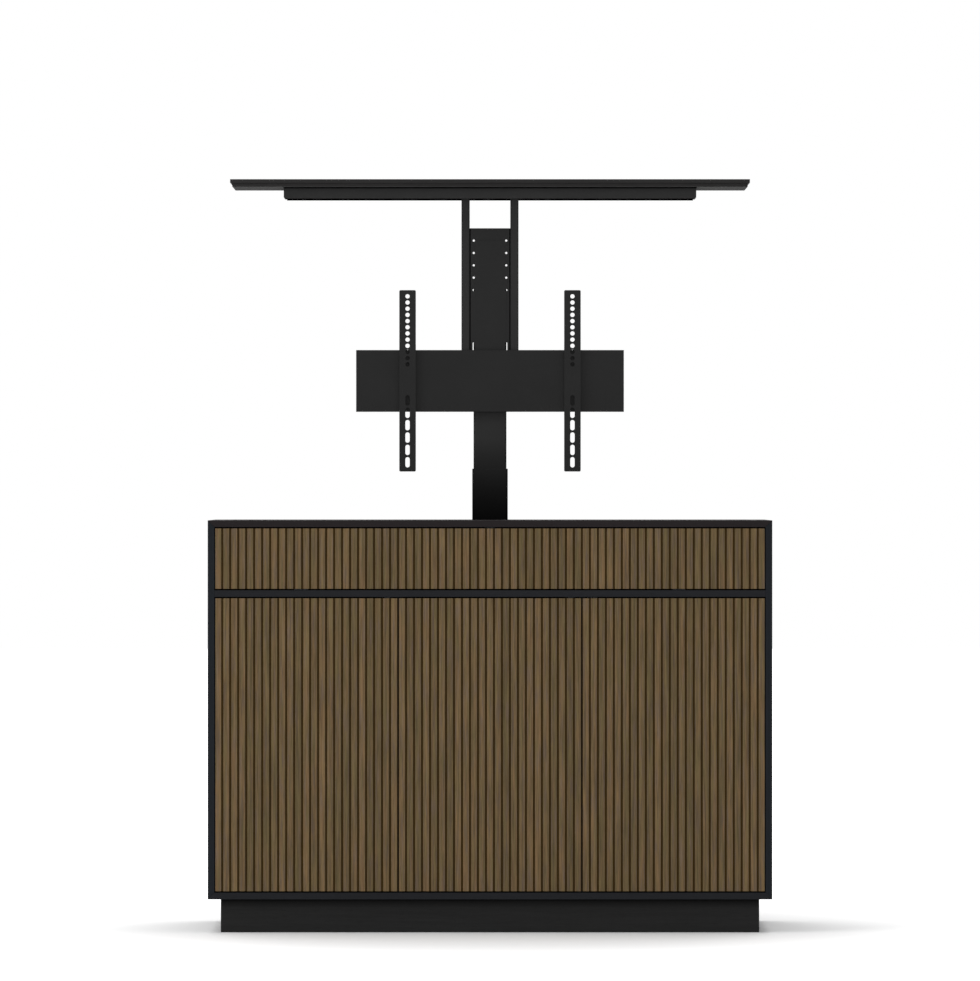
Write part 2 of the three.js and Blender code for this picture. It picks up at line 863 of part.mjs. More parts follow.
// A folded pan between the uprights, with a row of bolt holes and a slot along each edge.
function spinePlate() {
  const shadowGap = 2.4; // the pan's face stops short of the uprights
  const wall = 2;
  const holeRadius = 3.4;
  const holePitch = 30;
  const holeCount = 5;
  const holeEdge = 7.4; // from the pan's outer wall to the hole line
  const slotWidth = 8;
  const slotTopDrop = 277;
  const slotEndGap = 16;
  const panX = uprightInner - shadowGap;
  const outline = [
    [-uprightInner, spineBack],
    [-uprightInner, spineBack - plateThick],
    [-panX, spineBack - plateThick],
    [-panX, spineFace],
    [panX, spineFace],
    [panX, spineBack - plateThick],
    [uprightInner, spineBack - plateThick],
    [uprightInner, spineBack],
    [panX - wall, spineBack],
    [panX - wall, spineFace + plateThick],
    [wall - panX, spineFace + plateThick],
    [wall - panX, spineBack],
  ];
  const through = ["y", spineFace - overrun, spineBack + overrun];
  const slotTop = spineTop - slotTopDrop;
  const slotFoot = spineFoot + slotEndGap;
  const slotLine = panX - wall - slotWidth / 2 - slideFit;
  const tools = [];
  for (const side of [-1, 1]) {
    for (let index = 1; index <= holeCount; index++) {
      const centre = [side * (panX - holeEdge), spineTop - index * holePitch];
      tools.push(rod(holeRadius, ...through, centre, 10));
    }
    const slot = slotOutline(slotWidth, slotTop - slotFoot, [
      side * slotLine,
      (slotTop + slotFoot) / 2,
    ]);
    tools.push(pushed(slot, ...through, 3));
  }
  return cut(pushed(outline, "z", spineFoot, spineTop), ...tools);
}
piece(lift, "spine_plate", blackSteel, spinePlate());

// The head closes the inner tube and carries the spine plate: an angle with two gussets.
function columnHead() {
  const thick = 6;
  const tabHeight = 60;
  const tabHalf = 32;
  const gussetThick = 4;
  const gussetInset = 8;
  const front = spineFace + plateThick;
  const back = columnY + innerTubeDepth / 2;
  const plate = block(
    [-innerTubeWidth / 2, innerTubeWidth / 2],
    [front, back],
    [innerTubeTop, innerTubeTop + thick],
  );
  const tab = block([-tabHalf, tabHalf], [front, front + thick], [innerTubeTop, innerTubeTop + tabHeight]);
  const gusset = [
    [front + thick / 2, innerTubeTop + thick / 2],
    [back - gussetInset, innerTubeTop + thick / 2],
    [back - gussetInset, innerTubeTop + thick],
    [front + thick / 2, innerTubeTop + tabHeight - gussetInset],
  ];
  const gussets = [gussetThick - tabHalf, tabHalf - 2 * gussetThick].map((x) =>
    pushed(gusset, "x", x, x + gussetThick),
  );
  return joined(plate, tab, ...gussets);
}
piece(lift, "column_head", blackSteel, columnHead());

// The mount bar is a channel, open to the back.
function mountBar() {
  const outline = [
    [barFace, barBottom],
    [barBack, barBottom],
    [barBack, barBottom + plateThick],
    [barFace + plateThick, barBottom + plateThick],
    [barFace + plateThick, barTop - plateThick],
    [barBack, barTop - plateThick],
    [barBack, barTop],
    [barFace, barTop],
  ];
  return pushed(outline, "x", -barWidth / 2, barWidth / 2);
}
piece(lift, "mount_bar", blackSteel, mountBar());

// A mounting arm: a channel with a row of round holes above and a row of slots below, hooked over
// the bar at its back. Its own origin is at the middle of its front face's foot.
function mountingArm() {
  const wall = 2.5;
  const holeRadius = 5.25;
  const holePitch = 15;
  const holeCount = 12;
  const slotWidth = 10.7;
  const slotLength = 25;
  const slotPitch = 30;
  const slotCount = 6;
  const slotFirst = 22.5;
  const hookThick = 3;
  const hookHeight = 12;
  const hookDrop = 8;
  const corner = 3;
  const holeShape = (radius, z) => {
    const hole = new THREE.Path();
    hole.absarc(0, z, radius, 0, 2 * Math.PI);
    return hole;
  };
  const face = roundedRectangle(armWidth, armLength, corner, [0, armLength / 2]);
  for (let index = 0; index < slotCount; index++) {
    face.holes.push(slotOutline(slotWidth, slotLength, [0, slotFirst + index * slotPitch]));
  }
  const web = pushed(face, "y", 0, wall, 3);
  const holes = [];
  for (let index = 0; index < holeCount; index++) {
    const z = armLength - (index + 1) * holePitch;
    holes.push(pushed(new THREE.Shape(holeShape(holeRadius, z).getPoints(7)), "y", -overrun, overrun));
  }
  const [barLow, barHigh] = [-1, 1].map((end) => (armLength + end * barHeight) / 2 + end * slideFit);
  const barInside = armDepth + slideFit + barDepth;
  const hookInside = barInside + slideFit;
  const hookOutside = hookInside + hookThick;
  const flange = [
    [wall / 2, corner],
    [armDepth - corner, corner],
    [armDepth, 2 * corner],
    [armDepth, barLow - hookHeight],
    [barInside, barLow - hookHeight],
    [barInside, barLow],
    [armDepth, barLow],
    [armDepth, barHigh],
    [hookInside, barHigh],
    [hookInside, barHigh - hookDrop],
    [hookOutside, barHigh - hookDrop],
    [hookOutside, barHigh + hookHeight - corner],
    [hookOutside - corner, barHigh + hookHeight],
    [armDepth, barHigh + hookHeight],
    [armDepth, armLength - 2 * corner],
    [armDepth - corner, armLength - corner],
    [wall / 2, armLength - corner],
  ];
  const sides = [-armWidth / 2, armWidth / 2 - wall].map((x) => pushed(flange, "x", x, x + wall));
  return cut(joined(web, ...sides), ...holes);
}
const armFoot = barCentreZ - armLength / 2;
for (const [name, side] of [["left_arm", -1], ["right_arm", 1]]) {
  const place = [(side * armSpacing) / 2, armFace, armFoot];
  piece(lift, name, blackSteel, mountingArm(), place);
}

// Lid, its carrier and uprights

const carrierWall = 2.5;
const uprightWall = 2;
const uprightCorner = 3;
for (const [name, side] of [["left_lid_upright", -1], ["right_lid_upright", 1]]) {
  const at = [(side * uprightSpacing) / 2, barBack + uprightSize / 2];
  const outline = roundedRectangle(uprightSize, uprightSize, uprightCorner, at);
  const bore = uprightSize - 2 * uprightWall;
  outline.holes.push(roundedRectangle(bore, bore, uprightCorner - uprightWall, at));
  piece(lift, name, blackSteel, pushed(outline, "z", spineFoot, lidUnder - carrierWall, 1));
}

// A folded tray, open below, whose end flanges are narrower than its long ones.
function lidCarrier() {
  const endTrim = 2.6;
  const endReach = 4.6;
  const half = carrierWidth / 2;
  const ys = [carrierFront, carrierFront + carrierDepth];
  const tools = [
    block(
      [carrierWall - half, half - carrierWall],
      [ys[0] + carrierWall, ys[1] - carrierWall],
      [carrierBottom - overrun, lidUnder - carrierWall],
    ),
  ];
  for (const side of [-1, 1]) {
    const reach = [side * (half - endReach), side * (half + overrun)].sort((a, b) => a - b);
    tools.push(
      block(
        reach,
        [ys[0] - overrun, ys[1] + overrun],
        [carrierBottom - overrun, carrierBottom + endTrim],
      ),
    );
  }
  return cut(block([-half, half], ys, [carrierBottom, lidUnder]), ...tools);
}
piece(lift, "lid_carrier", blackSteel, lidCarrier());

// The lid drops into the top panel's opening: its lower half is rebated to clear the ledge.
function lidPanel() {
  const half = lidWidth / 2;
  const mid = lidUnder + lidThick / 2;
  const outline = [
    [-half, lidTop],
    [-half, mid],
    [lidRebate - half, mid],
    [lidRebate - half, lidUnder],
    [half - lidRebate, lidUnder],
    [half - lidRebate, mid],
    [half, mid],
    [half, lidTop],
  ];
  const ys = [lidFront, lidFront + lidDepth];
  const below = [lidUnder - overrun, mid];
  const across = [-half - overrun, half + overrun];
  return cut(
    pushed(outline, "y", ...ys),
    block(across, [ys[0] - overrun, ys[0] + lidRebate], below),
    block(across, [ys[1] - lidRebate, ys[1] + overrun], below),
  );
}
piece(lift, "lid", darkBoard, lidPanel());

export default cabinet;
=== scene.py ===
"""Looks of a television lift cabinet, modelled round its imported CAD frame.

Lengths are in metres, in the frame's own axes: +X to the right, the slatted fronts face -Y, and +Z
is up. The lift stands raised, as it does in the CAD. One operator sets the stage, and each of the
others makes a group of pieces.
"""

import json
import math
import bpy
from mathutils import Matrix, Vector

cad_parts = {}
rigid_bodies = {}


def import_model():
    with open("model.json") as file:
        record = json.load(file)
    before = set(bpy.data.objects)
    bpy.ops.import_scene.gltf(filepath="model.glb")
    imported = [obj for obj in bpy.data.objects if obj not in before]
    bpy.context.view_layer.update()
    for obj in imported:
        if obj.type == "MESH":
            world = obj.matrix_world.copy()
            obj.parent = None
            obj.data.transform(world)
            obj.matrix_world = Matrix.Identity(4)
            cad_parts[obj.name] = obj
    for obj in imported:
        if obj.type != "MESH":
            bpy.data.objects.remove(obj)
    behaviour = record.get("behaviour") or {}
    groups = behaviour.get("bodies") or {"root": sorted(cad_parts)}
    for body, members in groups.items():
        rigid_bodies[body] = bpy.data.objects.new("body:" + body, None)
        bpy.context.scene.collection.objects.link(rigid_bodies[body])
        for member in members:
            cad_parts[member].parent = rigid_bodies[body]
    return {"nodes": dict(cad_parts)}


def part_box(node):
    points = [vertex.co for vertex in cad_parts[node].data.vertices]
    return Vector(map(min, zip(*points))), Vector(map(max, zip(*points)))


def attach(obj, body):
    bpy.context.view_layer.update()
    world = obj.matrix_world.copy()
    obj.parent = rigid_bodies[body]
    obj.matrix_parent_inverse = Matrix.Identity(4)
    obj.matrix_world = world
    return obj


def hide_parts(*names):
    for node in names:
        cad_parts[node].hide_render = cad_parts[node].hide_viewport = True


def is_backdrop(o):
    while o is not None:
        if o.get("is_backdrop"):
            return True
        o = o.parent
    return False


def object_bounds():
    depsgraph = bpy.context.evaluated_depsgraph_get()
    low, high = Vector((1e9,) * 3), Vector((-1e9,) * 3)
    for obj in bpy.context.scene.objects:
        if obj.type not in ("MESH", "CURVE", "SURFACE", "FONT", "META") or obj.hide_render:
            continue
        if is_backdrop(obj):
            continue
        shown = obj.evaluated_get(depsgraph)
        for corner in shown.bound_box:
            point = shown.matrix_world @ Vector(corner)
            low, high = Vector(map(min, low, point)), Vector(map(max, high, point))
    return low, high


bl_info = {
    "name": "Television Lift Cabinet",
    "version": (1, 0, 0),
    "blender": (4, 5, 0),
    "location": "View3D > Sidebar > Lift Cabinet",
    "description": "Models a cabinet with slatted fronts and a telescopic television lift",
    "category": "Object",
}

from collections import namedtuple

import bmesh
import bpy
from bpy.props import FloatProperty, FloatVectorProperty, IntProperty, PointerProperty
from mathutils import Matrix, Vector

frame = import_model()
cad_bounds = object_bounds()

MM = 0.001
NEAR = 1e-5  # how close two places are taken to be the same
BEYOND = 10 * MM  # how far a cutter reaches past what it cuts
FACING, STRAIGHT = 0.9, 0.99  # how much of a direction lies along an axis that it is said to follow
SHARP = math.radians(35)  # from which angle an edge counts as sharp
FLAT = math.radians(1)  # up to which angle faces count as one
X, Y, Z = 0, 1, 2
SIDES = (-1, 1)
UP, DOWN = (0, 0, 1), (0, 0, -1)
FORWARDS, BACKWARDS = (0, -1, 0), (0, 1, 0)


# Sizes and colours that a user would change


def tone(*screen):
    """A colour of the screen, from 0 to 255, as Blender's linear colour (the sRGB formula)."""
    shares = [value / 255 for value in screen]
    return (*(s / 12.92 if s <= 0.04045 else ((s + 0.055) / 1.055) ** 2.4 for s in shares), 1.0)


def length(name, description, millimetres):
    return FloatProperty(
        name=name, description=description, default=millimetres * MM, min=0.0, unit="LENGTH"
    )


def count(name, description, default):
    return IntProperty(name=name, description=description, default=default, min=1)


def amount(name, description, default, unit="NONE"):
    return FloatProperty(name=name, description=description, default=default, unit=unit)


def colour(name, description, *screen):
    return FloatVectorProperty(
        name=name,
        description=description,
        default=tone(*screen),
        size=4,
        min=0.0,
        max=1.0,
        subtype="COLOR",
    )


class BoardSizes(bpy.types.PropertyGroup):
    thickness: length("Thickness", "Thickness of the carcass boards", 16)
    edge_round: length("Edge round", "Radius on the boards' edges", 0.6)
    lid_clearance: length("Lid clearance", "Gap round the lid in the top board", 2)
    lid_rebate: length("Lid rebate", "Width of the rebate round the lid's lower half", 5)
    slide_clearance: length("Slide clearance", "Gap between the lid and its ledge", 0.3)
    port_height: length("Cord port height", "Height of the two cord ports in the back", 60)
    port_width: length("Cord port width", "Width of the two cord ports in the back", 120)
    port_place: length("Cord port place", "From the middle of the back to a port", 420)
    port_rise: length("Cord port rise", "From the floor to a port's middle", 186)
    vent_height: length("Vent height", "Height of a vent slot in the back", 10)
    vent_width: length("Vent width", "Width of a vent slot in the back", 110)
    vent_place: length("Vent place", "From the middle of the back to a vent", 360)
    vent_rise: length("Vent rise", "From the floor to the highest vent's middle", 855)
    vent_pitch: length("Vent pitch", "From one vent slot to the next", 24)
    vent_rows: count("Vent rows", "Vent slots on each side", 5)


class FrontSizes(bpy.types.PropertyGroup):
    slat_pitch: length("Slat pitch", "From one slat to the next", 19)
    slat_gap: length("Slat gap", "Width of the groove between two slats", 4.75)
    slat_depth: length("Slat depth", "How far the slats stand out of their board", 6)
    slat_round: length("Slat round", "Radius on a slat's long edges", 1)
    board_thickness: length("Board thickness", "Thickness of the board behind the slats", 16)
    cup_radius: length("Cup radius", "Outer radius of a hinge cup", 17.2)
    cup_bore: length("Cup bore", "Inner radius of a hinge cup", 15.5)
    cup_depth: length("Cup depth", "Depth of a hinge cup", 9)
    cup_setback: length("Cup setback", "From the hinged edge to the cup's middle", 22.5)
    flange_radius: length("Flange radius", "Radius of a cup's flange", 19)
    ear_reach: length("Ear reach", "From the cup's middle to its screws", 24)
    ear_radius: length("Ear radius", "Radius of the flange's two ears", 7)


class LiftSizes(bpy.types.PropertyGroup):
    tube_wall: length("Tube wall", "Wall of the column's tubes", 2)
    tube_corner: length("Tube corner", "Outer corner radius of the column's tubes", 6)
    upright_wall: length("Upright wall", "Wall of the lid's uprights", 2)
    upright_corner: length("Upright corner", "Corner radius of the lid's uprights", 3)
    plate: length("Plate", "Thickness of the folded mount plates", 3)
    tray_wall: length("Tray wall", "Thickness of the lid's carrier", 2.5)
    tray_end_trim: length("Tray end trim", "How much shorter the carrier's end flanges are", 2.6)
    arm_wall: length("Arm wall", "Thickness of the mounting arms", 2.5)
    arm_hole: length("Arm hole", "Radius of the arms' round holes", 5.25)
    arm_hole_pitch: length("Arm hole pitch", "From one round hole to the next", 15)
    arm_holes: count("Arm holes", "Round holes in an arm", 12)
    arm_slot_width: length("Arm slot width", "Width of the arms' slots", 10.7)
    arm_slot_length: length("Arm slot length", "Length of the arms' slots", 25)
    arm_slot_pitch: length("Arm slot pitch", "From one slot to the next", 30)
    arm_slot_first: length("First arm slot", "From an arm's foot to its first slot's middle", 22.5)
    arm_slots: count("Arm slots", "Slots in an arm", 6)
    hook_plate: length("Hook plate", "Thickness of the hooks behind the bar", 3)
    hook_height: length("Hook height", "How far the hooks reach beyond the bar", 12)
    hook_drop: length("Hook drop", "How far the hooks hang behind the bar", 8)
    arm_corner: length("Arm corner", "Radius on an arm's corners", 3)
    screw_plain: length("Screw ends", "Plain length at each end of a screw's thread", 8)
    thread_depth: length("Thread depth", "Depth of the lifting screws' threads", 1.2)
    thread_lead: length("Thread lead", "Rise of a lifting screw's thread in one turn", 20)
    thread_starts: count("Thread starts", "Ridges side by side on a lifting screw", 4)
    # painted shadow: a thin black sheet under the lid stands for the shade between the lid and the
    # carrier
    shadow_sheet_width: length("Felt width", "Width of the felt strip under the lid", 60)
    shadow_sheet_thick: length("Felt thickness", "Height of the felt strip under the lid", 0.6)
    spine_hole: length("Spine hole", "Radius of the spine's bolt holes", 2.6)
    spine_hole_pitch: length("Spine hole pitch", "From one bolt hole to the next", 30)
    spine_hole_edge: length("Spine hole edge", "From the pan's side to its bolt holes", 7.4)
    spine_holes: count("Spine holes", "Bolt holes in a row", 5)
    spine_lip: length("Spine lip", "Width of the lips beside the spine's pan", 2.4)
    spine_slot_width: length("Spine slot width", "Width of the spine's two slots", 5)
    spine_slot_drop: length("Spine slot drop", "From the spine's top to its slots", 277)
    spine_slot_rise: length("Spine slot rise", "From the spine's foot to its slots", 16)


class Finishes(bpy.types.PropertyGroup):
    slat_ochre: colour("Ochre wood", "Greener streaks of the slats", 100, 86, 57)
    slat_brown: colour("Brown wood", "Redder streaks of the slats", 109, 87, 60)
    slat_grey: colour("Grey wood", "Greyer streaks of the slats", 101, 85, 68)
    # painted shade: a darker brown that stands for the shade in the grooves between the slats
    groove_stain: colour("Groove", "The stained board behind the slats", 70, 52, 19)
    side_board: colour("Side board", "Sides, dividers and the fronts' boards", 28, 31, 35)
    top_board: colour("Top board", "The carcass's top", 36, 32, 33)
    lid_board: colour("Lid board", "The lid over the lift", 43, 42, 42)
    rail_board: colour("Rail board", "Level boards, partition, back and shelves", 32, 33, 36)
    plinth_board: colour("Plinth", "The plinth's boards", 37, 37, 37)
    black_coat: colour("Black coat", "Powder coat of the mount and the drive", 33, 33, 33)
    # painted light: the uprights' and the carrier's coats are brighter copies of the black coat,
    # which make up for the lid's shade on them
    frame_coat: colour("Frame coat", "Powder coat of the lid's uprights", 41, 41, 41)
    carrier_coat: colour("Carrier coat", "Powder coat of the lid's carrier", 50, 50, 50)
    tube_coat: colour("Tube coat", "Satin coat of the column's tubes", 53, 53, 53)
    # painted shade: the tubes' near-black colour towards the cabinet's top, which stands for the
    # shade there
    tube_painted_shade: colour("Tube foot", "The tubes' coat towards the cabinet", 8, 8, 8)
    # painted shade: a near-black for the sheet under the lid, the spine's lips and the carrier's
    # inside, where shade falls
    tray_inside: colour("Tray inside", "Matt black of felt, lips and the carrier's inside", 3, 3, 3)
    black_plastic: colour("Black plastic", "Collars, control box and plungers", 20, 20, 21)
    grey_plastic: colour("Grey plastic", "Latch housings", 88, 90, 93)
    bright_steel: colour("Bright steel", "Plated screws, bolts and pins", 172, 174, 177)
    nickel: colour("Black nickel", "Plated hinge arms and cups", 48, 49, 52)
    bronze: colour("Bronze", "The lift's nut and bearing", 150, 122, 80)


class StageSettings(bpy.types.PropertyGroup):
    camera_distance: amount("Camera distance", "From the middle of the cabinet", 17.09, "LENGTH")
    camera_height: amount("Camera height", "Of the level camera over the floor", 1.052, "LENGTH")
    lens: amount("Lens", "Focal length of the camera", 260.0, "CAMERA")
    key_power: amount("Key lamp", "Power of the left lamp", 100.0, "POWER")
    top_power: amount("Top lamp", "Power of the top lamp", 230.0, "POWER")
    front_power: amount("Front lamp", "Power of the far lamp in front", 760.0, "POWER")
    surround: amount("Surround", "Strength of the even light from all sides", 0.46)
    shadow_reach: amount("Shadow reach", "Where the floor turns to plain white", 2.2, "LENGTH")


GROUPS = {  # what each group is called in the scene
    "cabinet_boards": BoardSizes,
    "cabinet_fronts": FrontSizes,
    "cabinet_lift": LiftSizes,
    "cabinet_finishes": Finishes,
    "cabinet_stage": StageSettings,
}


# Selecting and shaping


def deselect():
    if bpy.context.mode != "OBJECT":
        bpy.ops.object.mode_set(mode="OBJECT")
    bpy.ops.object.select_all(action="DESELECT")


def activate(*objects):
    deselect()
    for obj in objects:
        obj.select_set(True)
    bpy.context.view_layer.objects.active = objects[0]


def settle(obj, name):
    """Names a new object and puts its place and size into its mesh."""
    activate(obj)
    bpy.ops.object.transform_apply(location=True, rotation=True, scale=True)
    obj.name = obj.data.name = name
    return obj


def choose(obj, kind, test):
    """In edit mode, selects the vertices, edges or faces that pass a test, and nothing else."""
    if bpy.context.mode != "EDIT_MESH" or bpy.context.object != obj:
        activate(obj)
        bpy.ops.object.mode_set(mode="EDIT")
    bpy.ops.mesh.select_mode(type=kind)
    bpy.ops.mesh.select_all(action="DESELECT")
    mesh = bmesh.from_edit_mesh(obj.data)
    parts = {"VERT": mesh.verts, "EDGE": mesh.edges, "FACE": mesh.faces}[kind]
    for part in parts:
        if test(part):
            part.select_set(True)
    mesh.select_flush_mode()
    bmesh.update_edit_mesh(obj.data)


def finish_edit():
    bpy.ops.object.mode_set(mode="OBJECT")


def facing(axis, sign, place=None):
    """A test for faces that face along an axis, at a place on it if one is given."""

    def test(face):
        if face.normal[axis] * sign < FACING:
            return False
        return place is None or abs(face.calc_center_median()[axis] - place) < NEAR

    return test


def runs_along(axis, *places):
    """A test for edges along an axis, with (axis, place) pairs for where they lie besides."""

    def test(edge):
        first, second = (vert.co for vert in edge.verts)
        across, middle = second - first, (first + second) / 2
        if across.length < NEAR or abs(across[axis]) < STRAIGHT * across.length:
            return False
        return all(abs(middle[other] - place) < NEAR for other, place in places)

    return test


def along(axis, reach):
    shift = Vector()
    shift[axis] = reach
    return shift


def push_out(shift):
    """Extrudes the chosen faces."""
    bpy.ops.mesh.extrude_region_move(TRANSFORM_OT_translate={"value": shift})


def bevel(obj, kind, test, width, segments=3):
    """Rounds the edges that pass a test, or those round the faces that do."""
    choose(obj, kind, test)
    bpy.ops.mesh.bevel(offset=width, segments=segments, affect="EDGES")
    finish_edit()
    return obj


def apply_modifier(obj, kind, **settings):
    modifier = obj.modifiers.new(kind.lower(), kind)
    for key, value in settings.items():
        setattr(modifier, key, value)
    activate(obj)
    bpy.ops.object.modifier_apply(modifier=modifier.name)
    return obj


def ease(obj, width, segments=2):
    """Rounds an object's sharp edges and shades it smooth, with its flat faces kept flat."""
    settings = {"limit_method": "ANGLE", "angle_limit": SHARP}
    return shade(apply_modifier(obj, "BEVEL", width=width, segments=segments, **settings))


def shade(obj):
    activate(obj)
    bpy.ops.object.shade_smooth_by_angle(angle=SHARP)
    return apply_modifier(obj, "WEIGHTED_NORMAL", keep_sharp=True)


def carve(obj, *others, operation="DIFFERENCE"):
    """Cuts other objects out of one, or adds them to it, and removes them."""
    for other in others:
        apply_modifier(obj, "BOOLEAN", operation=operation, object=other, solver="EXACT")
        bpy.data.objects.remove(other)
    return apply_modifier(obj, "TRIANGULATE", min_vertices=5)


def fuse(obj, *others):
    return carve(obj, *others, operation="UNION")


def merge(name, *objects):
    """Joins objects that don't touch, or only rest on each other, into one."""
    activate(*objects)
    bpy.ops.object.join()
    joined = bpy.context.object
    joined.name = joined.data.name = name
    return joined


def add_box(name, low, high):
    deselect()
    low, high = Vector(low), Vector(high)
    bpy.ops.mesh.primitive_cube_add(size=1, location=(low + high) / 2)
    bpy.context.object.scale = high - low
    return settle(bpy.context.object, name)


def add_rod(name, radius, start, end, sides=32):
    """A round bar from one point to another."""
    deselect()
    start, end = Vector(start), Vector(end)
    bpy.ops.mesh.primitive_cylinder_add(
        vertices=sides,
        radius=radius,
        depth=(end - start).length,
        location=(start + end) / 2,
        rotation=(end - start).to_track_quat("Z", "Y").to_euler(),
    )
    return settle(bpy.context.object, name)


def add_post(name, radius, foot, top, sides=32, centre=(0, 0)):
    """A round bar that stands upright between two heights."""
    return add_rod(name, radius, (*centre, foot), (*centre, top), sides)


def add_stadium(name, centre, width, height, depth, axis):
    """A slot with round ends, drawn out along y. Its length runs along x or z."""
    size = (width, height) if axis == X else (height, width)
    radius = size[1] / 2
    offset = along(Y, depth / 2)
    obj = add_rod(name, radius, Vector(centre) - offset, Vector(centre) + offset)
    stretch = size[0] / 2 - radius
    for sign in SIDES:
        choose(obj, "VERT", lambda vert: (vert.co[axis] - centre[axis]) * sign > NEAR)
        bpy.ops.transform.translate(value=along(axis, sign * stretch))
    finish_edit()
    return obj


def add_rounded_bar(name, low, high, radius, axis=Z, segments=6):
    """A box whose four edges along one axis are round."""
    return bevel(add_box(name, low, high), "EDGE", runs_along(axis), radius, segments)


def add_tube(name, low, high, wall, corner):
    """A rectangular tube that stands upright, with round corners."""
    inset, least = Vector((wall, wall, -wall)), wall / 4
    outside = add_rounded_bar(name, low, high, corner)
    inside = add_rounded_bar("bore", low + inset, high - inset, max(corner - wall, least))
    return ease(carve(outside, inside), width=0.25 * MM)


def copy_of(node, name):
    """A copy of a CAD node's mesh with its loose triangles merged into faces."""
    obj = bpy.data.objects.new(name, frame["nodes"][node].data.copy())
    bpy.context.scene.collection.objects.link(obj)
    obj.data.name = name
    obj.data.materials.clear()
    choose(obj, "VERT", lambda vert: True)
    bpy.ops.mesh.remove_doubles(threshold=NEAR / 2)
    bpy.ops.mesh.dissolve_limited(angle_limit=FLAT)
    finish_edit()
    return obj


def twin(obj):
    """A copy of an object with its own mesh."""
    other = obj.copy()
    other.data = obj.data.copy()
    bpy.context.scene.collection.objects.link(other)
    return other


def spread(obj, name, matrices):
    """Copies an object to each place and joins the copies. The first object is used up."""
    copies = []
    for matrix in matrices:
        copies.append(twin(obj))
        copies[-1].data.transform(matrix)
    bpy.data.objects.remove(obj)
    return merge(name, *copies)


def turned_to(place, direction, roll=0.0):
    """The matrix that takes something that stands up +Z to a place and a direction."""
    turn = Vector(direction).to_track_quat("Z", "Y").to_matrix().to_4x4()
    return Matrix.Translation(place) @ turn @ Matrix.Rotation(roll, 4, "Z")


def placed(points, direction):
    """The matrices that take copies to some points, all in one direction."""
    return [turned_to(point, direction) for point in points]


def corners(low, high, inset, axis, place):
    """The points inside the four corners of a box's face, which lies at a place on an axis."""
    first, second = (other for other in (X, Y, Z) if other != axis)
    for one in (low[first] + inset, high[first] - inset):
        for two in (low[second] + inset, high[second] - inset):
            yield along(axis, place) + along(first, one) + along(second, two)


finish_of = {}  # each finish's material, under the finish's name


def paint(obj, *names):
    """Adds finishes to an object. The first is on all its faces."""
    for name in names:
        obj.data.materials.append(finish_of[name])
    return obj


def paint_chosen(obj, index):
    """Puts one of an object's finishes on its chosen faces."""
    obj.active_material_index = index
    bpy.ops.object.material_slot_assign()


def dress(obj, body, slot, finish, *nodes):
    """Gives a piece its finish and body, and hides the CAD nodes it stands for. Its slot is not
    used.
    """
    if finish:
        paint(obj, finish)
    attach(obj, body)
    if nodes:
        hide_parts(*nodes)


# Fasteners, each standing on z = 0 with its head up


def pan_screw(radius, height):
    """A domed head with a cross recess."""
    dome, recess, over = height * 0.6, height * 0.35, height * 2
    reach, half = radius * 0.62, radius * 0.14
    head = bevel(add_post("screw", radius, 0, height, sides=20), "FACE", facing(Z, 1), dome)
    bars = [
        add_box("bar", (-x, -y, recess), (x, y, over)) for x, y in ((reach, half), (half, reach))
    ]
    return shade(carve(head, fuse(*bars)))


def hex_bolt(radius, height):
    """A washer, a six-sided head and the shank's end over it."""
    washer, shank, end, edge_round = height * 0.25, height * 0.9, height * 1.3, height * 0.06
    washer_radius, head_radius, shank_radius = radius * 1.35, radius * 1.12, radius * 0.5
    parts = [
        add_post("washer", washer_radius, 0, washer, sides=24),
        add_post("head", head_radius, washer, height, sides=6),
        add_post("shank", shank_radius, shank, end, sides=16),
    ]
    for part in parts:
        ease(part, edge_round)
    return merge("bolt", *parts)


def socket_bolt(radius, height):
    """A round head with a six-sided socket."""
    socket_radius, recess, over, edge_round = radius * 0.55, height * 0.4, height * 2, height * 0.08
    head = add_post("bolt", radius, 0, height, sides=24)
    socket = add_post("socket", socket_radius, recess, over, sides=6)
    return ease(carve(head, socket), edge_round)


def fasten(name, piece, fastener, places):
    """Joins a copy of a bright fastener at each place to a painted piece."""
    return merge(name, piece, paint(spread(fastener, "fasteners", places), "bright_steel"))


# Finishes

SPREAD = (0.3, 0.7)  # between which values nearly all of a noise lies
WHOLE = (0.0, 1.0)


def stretched(axis, slow, fast):
    """The scales of a noise that is drawn out along one axis."""
    return [slow if other == axis else fast for other in (X, Y, Z)]


